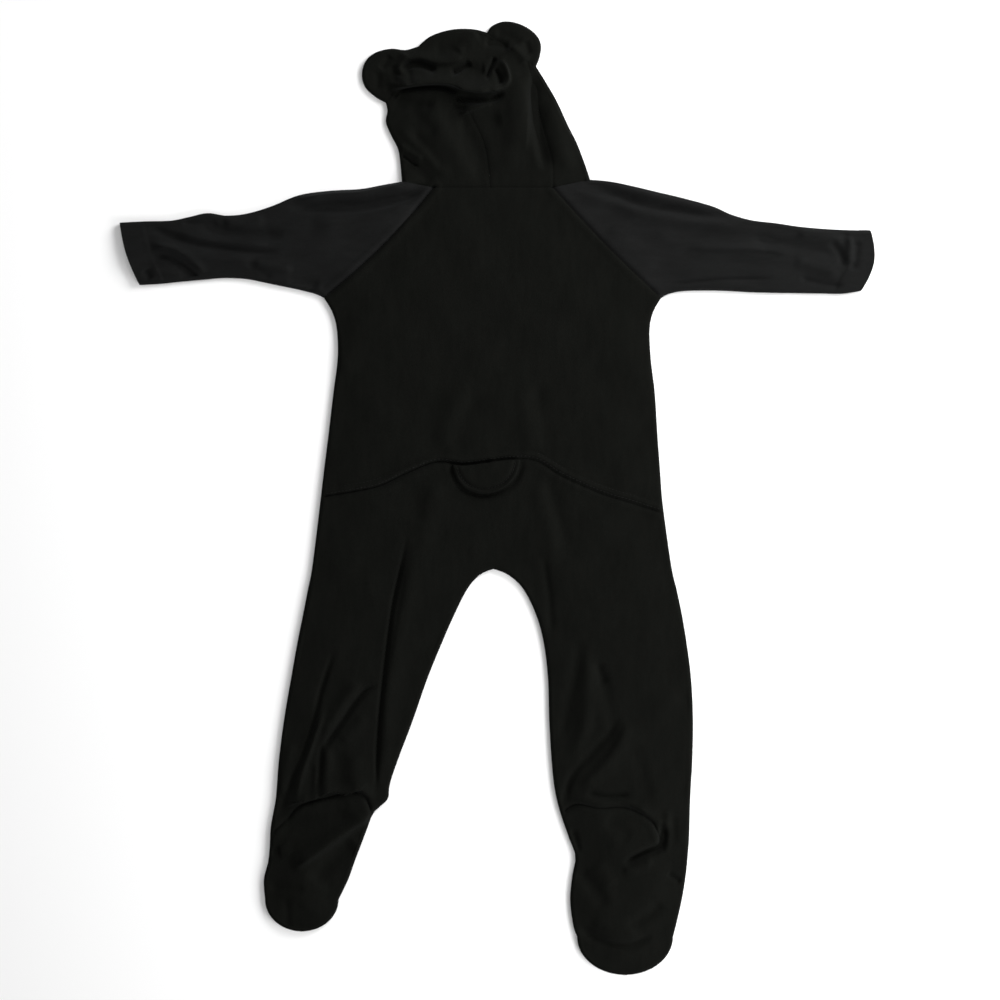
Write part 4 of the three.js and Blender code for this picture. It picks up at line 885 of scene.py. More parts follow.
def weld(nets):
    """Joins nets into one surface: its points, its quads, and which of them face down."""
    points = np.concatenate([n["points"] for n in nets])
    keys = np.floor(points * WELD_CELLS + WELD_SHIFT).astype(np.int64)
    _, first, where = np.unique(keys, axis=0, return_index=True, return_inverse=True)
    where = where.ravel()
    quads, downs, start = [], [], 0
    for n in nets:
        rows, columns = n["shape"]
        index = where[start : start + rows * columns].reshape(rows, columns)
        start += rows * columns
        corners = [index[:-1, :-1], index[:-1, 1:], index[1:, 1:], index[1:, :-1]]
        quad = np.stack(corners, -1).reshape(-1, 4)
        p = points[first][:, :2]
        ac = p[quad[:, 2]] - p[quad[:, 0]]
        bd = p[quad[:, 3]] - p[quad[:, 1]]
        upward = (ac[:, 0] * bd[:, 1] - ac[:, 1] * bd[:, 0]).sum() > 0
        if upward == n["down"]:
            quad = quad[:, ::-1]
        quads.append(quad)
        downs.append(np.full(len(quad), n["down"]))
    return points[first].copy(), np.concatenate(quads), np.concatenate(downs)


def border_of(quads, downs):
    """The edges that only one quad has, and whether that quad faces down."""
    a, b = quads.ravel(), np.roll(quads, -1, axis=1).ravel()
    down = np.repeat(downs, 4)
    real = a != b
    a, b, down = a[real], b[real], down[real]
    count = int(max(a.max(), b.max())) + 1
    lone = ~np.isin(a * count + b, b * count + a)
    return a[lone], b[lone], down[lone]


def wall(nets, thickness=CLOTH, floor_z=INSIDE_Z):
    """A wall of cloth from its outer surface, cut upright at seams and level at folded rims."""
    points, quads, downs = weld(nets)
    normals = np.zeros_like(points)
    p = points[quads]
    n = np.cross(p[:, 2] - p[:, 0], p[:, 3] - p[:, 1])
    for k in range(4):
        np.add.at(normals, quads[:, k], n)
    a, b, down = border_of(quads, downs)
    run = points[b][:, :2] - points[a][:, :2]
    out = np.column_stack([run[:, 1], -run[:, 0]])
    out /= np.maximum(np.linalg.norm(out, axis=1), 1e-9)[:, None]
    out[down] *= -1
    d = inset(points[:, :2])
    on_rim = (d[a] == 0) & (d[b] == 0)
    rims = np.zeros(len(points), bool)
    rims[a[on_rim]] = True
    rims[b[on_rim]] = True
    ways, count = np.zeros((len(points), 2)), np.zeros(len(points))
    for end in (a, b):
        np.add.at(ways, end[~on_rim], out[~on_rim])
        np.add.at(count, end[~on_rim], 1)
    normals /= np.maximum(np.linalg.norm(normals, axis=1), 1e-9)[:, None]
    normals[rims, 2] = 0
    size = np.linalg.norm(ways, axis=1)
    sewn = size > 1e-6
    way = ways / np.maximum(size, 1e-6)[:, None]
    across = (normals[:, :2] * way).sum(1) * sewn
    normals[:, :2] -= across[:, None] * way
    normals /= np.maximum(np.linalg.norm(normals, axis=1), 1e-9)[:, None]
    inner = points - normals * thickness
    up_facing = np.zeros(len(points), bool)
    down_facing = np.zeros(len(points), bool)
    up_facing[quads[~downs].ravel()] = True
    down_facing[quads[downs].ravel()] = True
    inner[~down_facing, 2] = np.maximum(inner[~down_facing, 2], floor_z)
    low = ~up_facing & (d < NEAR_RIM)
    inner[low, 2] = np.minimum(inner[low, 2], FRONT_EDGE_Z)
    scale = np.where(count > 1, np.minimum(2 / np.maximum(size, SHORTEST_WAY) ** 2, MOST_SHIFT), 1)
    shift = ways * (scale * SEAM_GAP / 2)[:, None]
    points[:, :2] -= shift
    inner[:, :2] -= shift
    return points, inner, quads, (a, b, ~on_rim)


def mesh_object(name, points, faces):
    """A smooth mesh from points in millimetres, in the scene."""
    mesh = bpy.data.meshes.new(name)
    mesh.from_pydata((np.asarray(points) * MM).tolist(), [], faces)
    mesh.polygons.foreach_set("use_smooth", [True] * len(mesh.polygons))
    mesh.update()
    obj = bpy.data.objects.new(name, mesh)
    bpy.context.scene.collection.objects.link(obj)
    return obj


def cloth_object(name, points, inner, quads, border):
    count = len(points)
    a, b, sewn = border
    faces = quads.tolist()
    faces += [[count + i for i in reversed(q)] for q in quads.tolist()]
    faces += np.column_stack([b, a, count + a, count + b]).tolist()
    faces = [list(dict.fromkeys(f)) for f in faces]
    faces = [f for f in faces if len(f) > 2]
    obj = mesh_object(name, np.concatenate([points, inner]), faces)
    a, b = a[sewn], b[sewn]
    sharpen(obj.data, np.concatenate([a, a + count]), np.concatenate([b, b + count]))
    return obj


def sharpen(mesh, starts, ends):
    """Marks edges as sharp, so that a cut side doesn't shade the face of the cloth."""
    pairs = np.zeros(2 * len(mesh.edges), np.int32)
    mesh.edges.foreach_get("vertices", pairs)
    pairs = np.sort(pairs.reshape(-1, 2).astype(np.int64), axis=1)
    wanted = np.sort(np.column_stack([starts, ends]).astype(np.int64), axis=1)
    size = len(mesh.vertices)
    sharp = np.isin(pairs[:, 0] * size + pairs[:, 1], wanted[:, 0] * size + wanted[:, 1])
    mesh.attributes.new("sharp_edge", "BOOLEAN", "EDGE").data.foreach_set("value", sharp)


# Panels

HALF_CELLS = 96
YOKE_CELLS = (6, 56)
YOKE_PARTS = (0.1, 0.9)
UNDER_YOKE_PARTS = (0.02, 0.98)
TORSO_CELLS = 96
SEAT_CELLS = 54
LEG_CELLS = 150
SOLE_CELLS = 60
SLEEVE_CELLS = 180
NECK_CELLS = 10
UNDER_RAGLAN_CELLS = 16
raglan_shares = parts(YOKE_PARTS, YOKE_CELLS)
front_raglan_shares = parts(UNDER_YOKE_PARTS, (1, UNDER_RAGLAN_CELLS))


def half_across(left):
    return lambda width, v: shares(width, HALF_CELLS, left, not left)


def leg_across(left):
    def across(width, v):
        start = shares(width, HALF_CELLS, left, not left)
        folded = shares(width, HALF_CELLS - len(RIM_STEPS), True, True)
        return start + (folded - start) * smooth((1 - v) * LEG_BLEND)

    return across


def back_body():
    neck = np.add(LEFT_NECK, RIGHT_NECK) / 2
    armpit = (seat_middle[0], left_armpit[1])
    left_flank = stretch(left_outer, seat_left_share, 0)
    right_flank = stretch(right_outer, seat_right_share, 0)
    left_level = straight(left_armpit, armpit)
    right_level = straight(armpit, right_armpit)
    upper = straight(armpit, neck)
    lower = straight(seat_middle, armpit)
    quarters = [
        (patch(left_level, straight(LEFT_NECK, neck), left_raglan, upper), raglan_shares, True),
        (patch(right_level, straight(neck, RIGHT_NECK), upper, right_raglan), raglan_shares, False),
        (patch(seat_left, left_level, left_flank, lower), even(TORSO_CELLS), True),
        (patch(seat_right, right_level, lower, right_flank), even(TORSO_CELLS), False),
    ]
    return [net(plan, ups, half_across(left), back(BACK_EDGE_Z)) for plan, ups, left in quarters]


def seat_and_legs():
    left_level = straight(left_outer.at(crotch_left_share), CROTCH)
    right_level = straight(CROTCH, right_outer.at(crotch_right_share))
    middle = straight(CROTCH, seat_middle)
    left_side = stretch(left_outer, crotch_left_share, seat_left_share)
    right_side = stretch(right_outer, crotch_right_share, seat_right_share)
    left_leg = stretch(left_outer, heel_left_outer, crotch_left_share)
    right_leg = stretch(right_outer, heel_right_outer, crotch_right_share)
    left_inseam = stretch(left_inner, heel_left_inner, 0)
    right_inseam = stretch(right_inner, heel_right_inner, 0)
    lift, seat, leg = back(BACK_EDGE_Z), even(SEAT_CELLS), closer_at_end(LEG_CELLS)
    return [
        net(patch(left_level, seat_left, left_side, middle), seat, half_across(True), lift),
        net(patch(right_level, seat_right, middle, right_side), seat, half_across(False), lift),
        net(patch(left_heel, left_level, left_leg, left_inseam), leg, leg_across(True), lift),
        net(patch(right_heel, right_level, right_inseam, right_leg), leg, leg_across(False), lift),
    ]


TOE_UPS = closer_to_rim(32, 1.35)


def foot_across(width, v):
    return shares(width, HALF_CELLS - len(RIM_STEPS), True, True)


def foot_nets(top, left, right, toe_cap, ups, across, lift, down=False):
    start = straight(left.at(0), right.at(0))
    toe_shares = across(start.length, 0)
    return [
        net(patch(start, top, left, right), ups, across, lift, down),
        net(cap(toe_cap, start), TOE_UPS, lambda width, v: toe_shares, lift, down),
    ]


def sole(heel, left, right, toe_cap):
    return foot_nets(heel, left, right, toe_cap, even(SOLE_CELLS), foot_across, back(BACK_EDGE_Z))


def sleeve(top, bottom, bow, raglan, back_neck, front_neck, mirrored):
    shoulder, armpit = top.at(1), bottom.at(1)
    wrist = bowed(bottom.at(0), top.at(0), bow)
    front_raglan = straight(armpit, front_neck)
    back_end = chain(raglan, straight(back_neck, shoulder))
    front_end = chain(front_raglan, straight(front_neck, shoulder))

    def joined(path, corner, list_of_shares):
        short = float(np.linalg.norm(np.subtract(corner, shoulder)))
        folded = shares(short, NECK_CELLS, False, True)[1:]
        whole = path.length + short
        return np.append(list_of_shares * path.length, path.length + folded * short) / whole

    low = backwards(bottom) if mirrored else bottom
    high = backwards(top) if mirrored else top

    def plan(end):
        return patch(low, high, end, wrist) if mirrored else patch(low, high, wrist, end)

    def hemmed(xy):
        points = back_points(xy, FOLD_Z)
        off = nearest(xy, wrist.at(even(8)))[0]
        stitched = HEM_STITCH_DIP * bell(off - HEM_WIDTH + HEM_STITCH_IN, HEM_STITCH_WIDTH)
        hem = HEM_RISE * smooth((HEM_WIDTH - off) / HEM_STEP) - stitched
        points[:, 2] += hem * smooth(inset(xy) / FOLD_FADE)
        return points

    def across(width, v):
        return even(SLEEVE_CELLS)

    back_ups = joined(raglan, back_neck, raglan_shares)
    front_ups = joined(front_raglan, front_neck, front_raglan_shares)
    return [
        net(plan(back_end), back_ups, across, hemmed),
        net(plan(front_end), front_ups, across, under(FOLD_Z), True),
    ]


HOOD_UP_CELLS = 120
HOOD_SIDE_CELLS = 70
HOOD_UNDER_CELLS = 14
CENTRE_CELLS = (28, 58, 42)
hood_ups = closer_to_rim(HOOD_UP_CELLS, 1.12)


class Eased(Path):
    """A path whose points lie closer together towards its end."""

    def at(self, shares):
        return super().at(shares + FACE_EASE * np.sin(math.pi * np.asarray(shares)))


def hood_side(edge, seam, face, neck, front_neck, ear_low, ear_middle, face_corner, left):
    shoulder = edge.at(0)
    top_low = chain(straight(shoulder, neck), straight(neck, seam.at(0)))
    under_low = chain(straight(shoulder, front_neck), straight(front_neck, FRONT_NECK))
    under_high = chain(straight(ear_low, ear_middle), straight(ear_middle, face_corner))
    top_high = straight(ear_low, ear_middle)
    eased = Eased(face.points)

    def plan(low, high, end):
        if left:
            return patch(low, high, edge, end)
        return patch(backwards(low), backwards(high), end, edge)

    def across(cells):
        return lambda width, v: shares(width, cells, left, not left)

    return [
        net(plan(top_low, top_high, seam), hood_ups, across(HOOD_SIDE_CELLS), back(FOLD_Z)),
        net(plan(under_low, under_high, eased), hood_ups, across(HOOD_UNDER_CELLS), under(FOLD_Z), True),
    ]


def hood_middle():
    lengths = [
        np.linalg.norm(left_ear_middle - left_ear_high),
        crown.length,
        np.linalg.norm(right_ear_high - right_ear_middle),
    ]
    top_shares = parts(lengths, CENTRE_CELLS)
    left_base = straight(left_ear_middle, left_ear_high)
    right_base = straight(right_ear_middle, right_ear_high)
    high = chain(left_base, crown, backwards(right_base))
    neck = straight(hood_seam_left.at(0), hood_seam_right.at(0))
    left_end = chain(straight(FACE_LEFT[-1], left_ear_middle), left_base)
    right_end = chain(straight(FACE_RIGHT[-1], right_ear_middle), right_base)
    above = patch(neck, high, hood_seam_left, hood_seam_right)
    below = patch(face_top, crown, left_end, right_end)
    crown_shares = even(CENTRE_CELLS[1])
    return [
        net(above, hood_ups, lambda width, v: top_shares, back(FOLD_Z)),
        net(below, closer_to_rim(16, 1.5), lambda width, v: crown_shares, under(FOLD_Z), True),
    ]


EAR_CELLS = 48
EAR_UPS = closer_to_rim(40, 1.4)


def ear(low, middle, high, rim, lift, down):
    lengths = [np.linalg.norm(low - middle), np.linalg.norm(middle - high)]
    cells = [max(1, round(length / sum(lengths) * EAR_CELLS)) for length in lengths]
    base = chain(straight(low, middle), straight(middle, high))
    across = parts(lengths, cells)
    return [net(cap(rim, base), EAR_UPS, lambda width, v: across, lift, down)]


FRONT_CELLS = 26
FRONT_TORSO_CELLS = 50
FRONT_LEG_CELLS = 64


def front(left):
    outer, inseam = (left_outer, left_inner) if left else (right_outer, right_inner)
    armpit = left_armpit if left else right_armpit
    neck = LEFT_FRONT_NECK if left else RIGHT_FRONT_NECK
    crotch_share = crotch_left_share if left else crotch_right_share
    middle = straight(CROTCH, FRONT_NECK)
    on_middle = middle.at((armpit[1] - CROTCH[1]) / (FRONT_NECK[1] - CROTCH[1]))

    def across(width, v=0):
        start = [0, *[s / width for s in RIM_STEPS]]
        stops = [1 - min(stop / width, 0.4) for stop in RAISED_STOPS]
        fill = np.linspace(start[-1], stops[0], FRONT_CELLS + 1)[1:]
        rise = np.linspace(stops[0], stops[1], 4)[1:]
        row = np.array([*start, *fill, *rise, 1])
        return row if left else 1 - row[::-1]

    def leg_ways(width, v):
        start = across(width)
        folded = shares(width, len(start) - 1 - 2 * len(RIM_STEPS), True, True)
        return start + (folded - start) * smooth((1 - v) * FRONT_LEG_BLEND)

    def pair(a, b):
        return straight(a, b) if left else straight(b, a)

    def plan(low, high, side, inner):
        return patch(low, high, side, inner) if left else patch(low, high, inner, side)

    crotch_level = pair(outer.at(crotch_share), CROTCH)
    armpit_level = pair(armpit, on_middle)
    raglan = straight(armpit, neck)
    yoke = plan(armpit_level, pair(neck, FRONT_NECK), raglan, straight(on_middle, FRONT_NECK))
    flank = stretch(outer, crotch_share, 0)
    torso = plan(crotch_level, armpit_level, flank, straight(CROTCH, on_middle))
    sides = [stretch(outer, 1, crotch_share), stretch(inseam, 1, 0)]
    if not left:
        sides.reverse()
    toe_cap = left_toe if left else right_toe
    leg_ups = closer_at_end(FRONT_LEG_CELLS)
    return [
        net(yoke, front_raglan_shares, across, front_points, True),
        net(torso, even(FRONT_TORSO_CELLS), across, front_points, True),
        *foot_nets(crotch_level, sides[0], sides[1], toe_cap, leg_ups, leg_ways, front_points, True),
    ]


# Tail flap: two layers that lie on the seat

TAIL_LIFT = 0.8
TAIL_STITCH_IN = 4
TAIL_STITCH_DIP = 1.1
TAIL_STITCH_WIDTH = 1.1
TAIL_CROWN = 1.2
TAIL_CURL = 0.9
TAIL_TIP = 1.3
TAIL_ROUNDING = 0.6
TAIL_CROWN_REACH = 9
TAIL_ROUNDING_REACH = 0.5
TAIL_CURL_FROM = 20
TAIL_CURL_REACH = 4
TAIL_TIP_WIDTH = 2
TAIL_UPS = closer_to_rim(30, 1.4)
TAIL_ACROSS = shares(60, 40, True, True)


def tail_plan():
    top_left = share_where(seat_left, TAIL_LEFT, 0)
    top_right = share_where(seat_right, TAIL_RIGHT, 0)
    left_half = seat_left.at(np.linspace(top_left, 1, 30))
    right_half = seat_right.at(np.linspace(0, top_right, 24))
    top = Path(np.concatenate([left_half, right_half]) - (0, TAIL_DROP))
    return top, round_end(top.at(0), top.at(1), TAIL_DEPTH)


tail_top, tail_rim = tail_plan()


def tail(layer):
    def lift(xy):
        points = back_points(xy, BACK_EDGE_Z)
        d = nearest(xy, tail_rim.at(even(60)))[0]
        below_top = nearest(xy, tail_top.at(even(30)))[0]
        stitched = TAIL_STITCH_DIP * bell(d - TAIL_STITCH_IN, TAIL_STITCH_WIDTH)
        rounding = TAIL_ROUNDING * np.exp(-d / TAIL_ROUNDING_REACH)
        crowned = TAIL_CROWN * smooth(d / TAIL_CROWN_REACH) - stitched - rounding
        edge = TAIL_CURL * np.exp(-d / TAIL_CURL_REACH) + TAIL_TIP * bell(d, TAIL_TIP_WIDTH)
        curl = smooth(below_top / TAIL_CURL_FROM) * edge
        points[:, :2] = xy
        points[:, 2] += TAIL_LIFT + FLAP_CLOTH + curl + layer * (FLAP_CLOTH + THIN_GAP + crowned)
        return points

    return [net(cap(tail_rim, tail_top), TAIL_UPS, lambda width, v: TAIL_ACROSS, lift)]


def flap_walls(nets):
    points, quads, downs = weld(nets)
    inner = points - (0, 0, FLAP_CLOTH)
    a, b, _ = border_of(quads, downs)
    return points, inner, quads, (a, b, np.ones(len(a), bool))


# Materials


def set_inputs(node, values):
    for name, value in values.items():
        node.inputs[name].default_value = value


class Nodes:
    """A new material, and short ways to add nodes to it."""

    def __init__(self, name, values):
        self.material = bpy.data.materials.new(name)
        self.material.use_nodes = True
        self.tree = self.material.node_tree
        self.shader = self.tree.nodes["Principled BSDF"]
        set_inputs(self.shader, values)
        self.place = self.tree.nodes.new("ShaderNodeTexCoord").outputs["Object"]

    def add(self, kind, output, values, **feeds):
        """Adds a node, sets its inputs, feeds it from earlier outputs, and returns one output."""
        node = self.tree.nodes.new("ShaderNode" + kind)
        set_inputs(node, values)
        for name, source in feeds.items():
            self.tree.links.new(source, node.inputs[name])
        return node.outputs[output]

    def ramp(self, fac, dark, light, start=0, end=1):
        node = self.tree.nodes.new("ShaderNodeValToRGB")
        for stop, position, colour in zip(node.color_ramp.elements, (start, end), (dark, light)):
            stop.position = position
            stop.color = (*colour, 1)
        self.tree.links.new(fac, node.inputs["Fac"])
        return node.outputs["Color"]

    def shade(self, name, source):
        self.tree.links.new(source, self.shader.inputs[name])


# The cloth's grain: how far the noise is drawn out along it, finely and slowly, and how it is turned
GRAIN = {
    "X": ((0.1, 1, 1), (0.3, 1, 1), (0.35, 0, 0)),
    "Y": ((1, 0.1, 1), (1, 0.3, 1), (0, 0.35, 0)),
}
TONE_SCALE = 130
FIBRE_SCALE = 2730
WALE_SCALE = 1510
FIBRE_SHARE = 0.55
SHEEN_TINT = (0.92, 0.96, 1.0, 1)
WALE_DEPTH = 0.00015
PILL_DEPTH = 0.0003
BODY_DARK = (0.0028, 0.003, 0.0025)
BODY_LIGHT = (0.005, 0.0052, 0.0044)
# The sleeves' colours are set lighter than the body's: painted sheen of their nap, which runs the other way
# on the same cloth.
SLEEVE_DARK_PAINTED_SHEEN = (0.0052, 0.0053, 0.0052)
SLEEVE_LIGHT_PAINTED_SHEEN = (0.0087, 0.0089, 0.0088)
THREAD_DARK = (0.004, 0.004, 0.004)
THREAD_LIGHT = (0.009, 0.009, 0.0085)
STUD_COLOUR = (0.03, 0.03, 0.03, 1)


def jersey(name, dark, light, wales_along, pile):
    """Brushed knitted cotton: fine wales, soft pile and slow changes of tone."""
    cloth = Nodes(name, {"Roughness": 0.95, "Specular IOR Level": 0.012})
    sheen = {"Sheen Weight": pile, "Sheen Roughness": 0.55, "Sheen Tint": SHEEN_TINT}
    set_inputs(cloth.shader, sheen)
    fine, slow, turn = GRAIN[wales_along]
    drawn = cloth.add("Mapping", "Vector", {"Scale": slow, "Rotation": turn}, Vector=cloth.place)
    uneven = {"Scale": TONE_SCALE, "Detail": 8, "Roughness": 0.75}
    tone = cloth.add("TexNoise", "Fac", uneven, Vector=drawn)
    fibre = cloth.add("TexNoise", "Fac", {"Scale": FIBRE_SCALE, "Detail": 2}, Vector=cloth.place)
    mixed = cloth.add("Mix", 0, {0: FIBRE_SHARE}, A=tone, B=fibre)
    cloth.shade("Base Color", cloth.ramp(mixed, dark, light, 0.36, 0.64))

    along = cloth.add("Mapping", "Vector", {"Scale": fine, "Rotation": turn}, Vector=cloth.place)
    wales = cloth.add("TexNoise", "Fac", {"Scale": WALE_SCALE, "Detail": 1}, Vector=along)
    knit = cloth.add("Bump", "Normal", {"Strength": 0.35, "Distance": WALE_DEPTH}, Height=wales)
    pills = {"Strength": 0.5, "Distance": PILL_DEPTH}
    cloth.shade("Normal", cloth.add("Bump", "Normal", pills, Height=fibre, Normal=knit))
    return cloth.material


def thread_material():
    yarn = Nodes("thread", {"Roughness": 0.7, "Specular IOR Level": 0.1})
    twist = yarn.add("TexNoise", "Fac", {"Scale": 1500}, Vector=yarn.place)
    yarn.shade("Base Color", yarn.ramp(twist, THREAD_DARK, THREAD_LIGHT))
    return yarn.material


def stud_material():
    enamel = Nodes("stud_enamel", {"Metallic": 0.6, "Base Color": STUD_COLOUR})
    wear = enamel.add("TexNoise", "Fac", {"Scale": 400}, Vector=enamel.place)
    enamel.shade("Roughness", enamel.add("MapRange", "Result", {"To Min": 0.3, "To Max": 0.5}, Value=wear))
    return enamel.material


body_cloth = jersey("jersey_body", BODY_DARK, BODY_LIGHT, "Y", 0.012)
# The sleeve jersey is the body's jersey with painted sheen: a lighter colour for the same cloth.
sleeve_cloth_painted_sheen = jersey("jersey_sleeves_painted_sheen", SLEEVE_DARK_PAINTED_SHEEN, SLEEVE_LIGHT_PAINTED_SHEEN, "X", 0.016)
thread = thread_material()
enamel = stud_material()


def dress(obj, material, slot, *nodes):
    obj.data.materials.append(material)
    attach(obj, "root")
    if nodes:
        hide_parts(*nodes)


# Stitches

THREAD_RADIUS = 0.2
THREAD_SIDES = 6
THREAD_RINGS = (0.6, 1, 0.6)


def ring_of(sides):
    """The directions of a ring's points, as shares of its two axes."""
    angles = [2 * math.pi * k / sides for k in range(sides)]
    return [(math.cos(a), math.sin(a)) for a in angles]


def ring_faces(base, rings, sides):
    """The quads between rings that follow each other in a list of points."""
    faces = []
    for ring in range(rings - 1):
        for k in range(sides):
            i = base + ring * sides + k
            j = base + ring * sides + (k + 1) % sides
            faces.append((i, j, j + sides, i + sides))
    return faces


def stitch_row(path, from_share, to_share, pitch, length, lift, offset):
    """Short raised threads along a path, each by its two ends and its middle."""
    run = (to_share - from_share) * path.length
    middles = np.linspace(from_share, to_share, int(run / pitch))
    step = length / 2 / path.length
    a = path.at(middles - step)
    b = path.at(middles + step)
    way = (b - a) / np.linalg.norm(b - a, axis=1)[:, None]
    across = np.column_stack([-way[:, 1], way[:, 0]]) * offset
    return np.stack([lift(p + across) for p in (a, (a + b) / 2, b)], axis=1)


def thread_object(name, rows):
    """One mesh of many short threads, each a little tube that dips into the cloth at its ends."""
    vertices, faces = [], []
    for ends in np.concatenate(rows):
        ends[[0, 2], 2] -= THREAD_RADIUS
        way = ends[2] - ends[0]
        way /= np.linalg.norm(way)
        side = np.cross(way, (0, 0, 1))
        side /= np.linalg.norm(side)
        up = np.cross(side, way)
        base = len(vertices)
        for point, radius in zip(ends, THREAD_RINGS):
            for x, y in ring_of(THREAD_SIDES):
                vertices.append(point + (side * x + up * y) * THREAD_RADIUS * radius)
        faces += ring_faces(base, len(THREAD_RINGS), THREAD_SIDES)
        last = base + (len(THREAD_RINGS) - 1) * THREAD_SIDES
        faces.append([base + k for k in reversed(range(THREAD_SIDES))])
        faces.append([last + k for k in range(THREAD_SIDES)])
    return mesh_object(name, vertices, faces)


# Camera, floor and light

PHOTO_PX = 1000
MM_PER_PX = 0.86
LENS = 100
SENSOR = 36
CAMERA_HEIGHT = PHOTO_PX * MM_PER_PX * MM * LENS / SENSOR
CAMERA_OFF = 2 * MM_PER_PX * MM
FLOOR_HALF = 6
FLOOR_DROP = 0.0005
FLOOR_COLOUR = (0.92, 0.92, 0.92, 1)
WORLD_STRENGTH = 0.3

# Area lights: name, place, power, size
LIGHTS = [
    ("key", (0.78, 0.82, 0.56), 24, 0.8),
    ("low_right", (0.85, -0.7, 0.42), 18, 0.8),
    ("fill", (-1.6, 0.3, 1.9), 6, 1.6),
    ("top", (0.0, 0.0, 3.2), 16, 2.4),
]


def place_in_scene(name, data, place):
    obj = bpy.data.objects.new(name, data)
    obj.location = place
    bpy.context.scene.collection.objects.link(obj)
    return obj


def make_camera():
    data = bpy.data.cameras.new("camera")
    data.lens = LENS
    data.sensor_width = SENSOR
    place = (CAMERA_OFF, -CAMERA_OFF, CAMERA_HEIGHT)
    bpy.context.scene.camera = place_in_scene("camera", data, place)


def make_floor():
    mesh = bpy.data.meshes.new("floor")
    h = FLOOR_HALF
    mesh.from_pydata([(-h, -h, 0), (h, -h, 0), (h, h, 0), (-h, h, 0)], [], [(0, 1, 2, 3)])
    material = bpy.data.materials.new("pale_floor")
    material.use_nodes = True
    shader = material.node_tree.nodes["Principled BSDF"]
    set_inputs(shader, {"Base Color": FLOOR_COLOUR, "Roughness": 0.9})
    mesh.materials.append(material)
    place_in_scene("floor", mesh, (0, 0, -FLOOR_DROP))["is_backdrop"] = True


def make_lights():
    for name, place, power, size in LIGHTS:
        data = bpy.data.lights.new(name, "AREA")
        data.energy = power
        data.size = size
        x, y, z = place
        tilt = math.acos(z / math.hypot(x, y, z))
        light = place_in_scene(name, data, place)
        light.rotation_euler = (tilt, 0, math.atan2(y, x) + math.pi / 2)
    world = bpy.data.worlds.new("studio")
    world.use_nodes = True
    background = world.node_tree.nodes["Background"]
    set_inputs(background, {"Color": (1, 1, 1, 1), "Strength": WORLD_STRENGTH})
    bpy.context.scene.world = world
    bpy.context.scene.view_settings.view_transform = "Standard"


make_camera()
make_floor()
make_lights()

# Cloth pieces

# What fixes each half of a mirrored panel
LEFT_SLEEVE_EDGES = (left_sleeve_top, left_sleeve_bottom, LEFT_WRIST_BOW, left_raglan)
RIGHT_SLEEVE_EDGES = (right_sleeve_top, right_sleeve_bottom, -RIGHT_WRIST_BOW, right_raglan)
LEFT_NECKS = (LEFT_NECK, LEFT_FRONT_NECK)
RIGHT_NECKS = (RIGHT_NECK, RIGHT_FRONT_NECK)
LEFT_HOOD = (hood_left, hood_seam_left, face_left, *LEFT_NECKS, left_ear_low, left_ear_middle)
RIGHT_HOOD = (hood_right, hood_seam_right, face_right, *RIGHT_NECKS, right_ear_low, right_ear_middle)
LEFT_SOLE = (stretch(left_outer, 1, heel_left_outer), stretch(left_inner, 1, heel_left_inner), left_toe)
RIGHT_SOLE = (stretch(right_inner, 1, heel_right_inner), stretch(right_outer, 1, heel_right_outer), right_toe)
BOTH_FRONTS = ["front_left", "front_right"]
ON_FLOOR = ["floor"]

# Panels: node, nets, the width and length of its cut in millimetres, and what it lies on
PANELS = [
    ("front_left", front(True), 200, 625, ON_FLOOR),
    ("front_right", front(False), 175, 662, ON_FLOOR),
    ("back_body", back_body(), 298, 282, BOTH_FRONTS),
    ("seat_and_legs", seat_and_legs(), 366, 358, BOTH_FRONTS),
    ("sole_left", sole(left_heel, *LEFT_SOLE), 96, 124, ["front_left"]),
    ("sole_right", sole(right_heel, *RIGHT_SOLE), 110, 150, ["front_right"]),
    ("sleeve_left", sleeve(*LEFT_SLEEVE_EDGES, *LEFT_NECKS, False), 270, 275, ON_FLOOR),
    ("sleeve_right", sleeve(*RIGHT_SLEEVE_EDGES, *RIGHT_NECKS, True), 270, 278, ON_FLOOR),
    ("hood_middle", hood_middle(), 110, 190, ON_FLOOR),
    ("hood_side_left", hood_side(*LEFT_HOOD, FACE_LEFT[-1], True), 150, 135, ON_FLOOR),
    ("hood_side_right", hood_side(*RIGHT_HOOD, FACE_RIGHT[-1], False), 90, 150, ON_FLOOR),
]
for side, base, rim in (
    ("left", LEFT_EAR_BASE, left_ear_rim),
    ("right", RIGHT_EAR_BASE, right_ear_rim),
):
    front_disc = ear(*base, rim, under(FRONT_EDGE_Z), True)
    back_disc = ear(*base, rim, back(BACK_EDGE_Z), False)
    PANELS.append((f"ear_{side}_front", front_disc, 58, 48, ON_FLOOR))
    PANELS.append((f"ear_{side}_back", back_disc, 58, 48, [f"ear_{side}_front"]))


def cloth_piece(node, nets, make_wall, width, length, below):
    """One sheet of cloth in place of its solid."""
    obj = cloth_object(node + "_cloth", *make_wall(nets))
    if node.startswith("sleeve"):
        # The sleeves take the jersey whose lighter colour is painted sheen.
        dress(obj, sleeve_cloth_painted_sheen, "sleeve_jersey", node)
    else:
        dress(obj, body_cloth, "jersey", node)
    cloth_area(nets)
    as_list(below)


for node, nets, width, length, below in PANELS:
    cloth_piece(node, nets, wall, width, length, below)
for layer, node in enumerate(("tail_under", "tail_outer")):
    cloth_piece(node, tail(layer), flap_walls, 58, 34, ["seat_and_legs"])

# Press studs and the strip inside

# A stud's cap, from its middle below to its middle above: radius and height
STUD_PROFILE = [
    (0, 0),
    (3.2, 0),
    (3.9, 0.06),
    (4.3, 0.02),
    (4.8, 0.12),
    (5, 0.32),
    (4.9, 0.55),
    (4.6, 0.6),
    (0, 0.6),
]
STUD_SIDES = 32


def on_middle_line(y):
    share = (y - CROTCH[1]) / (FRONT_NECK[1] - CROTCH[1])
    return CROTCH[0] + (FRONT_NECK[0] - CROTCH[0]) * share


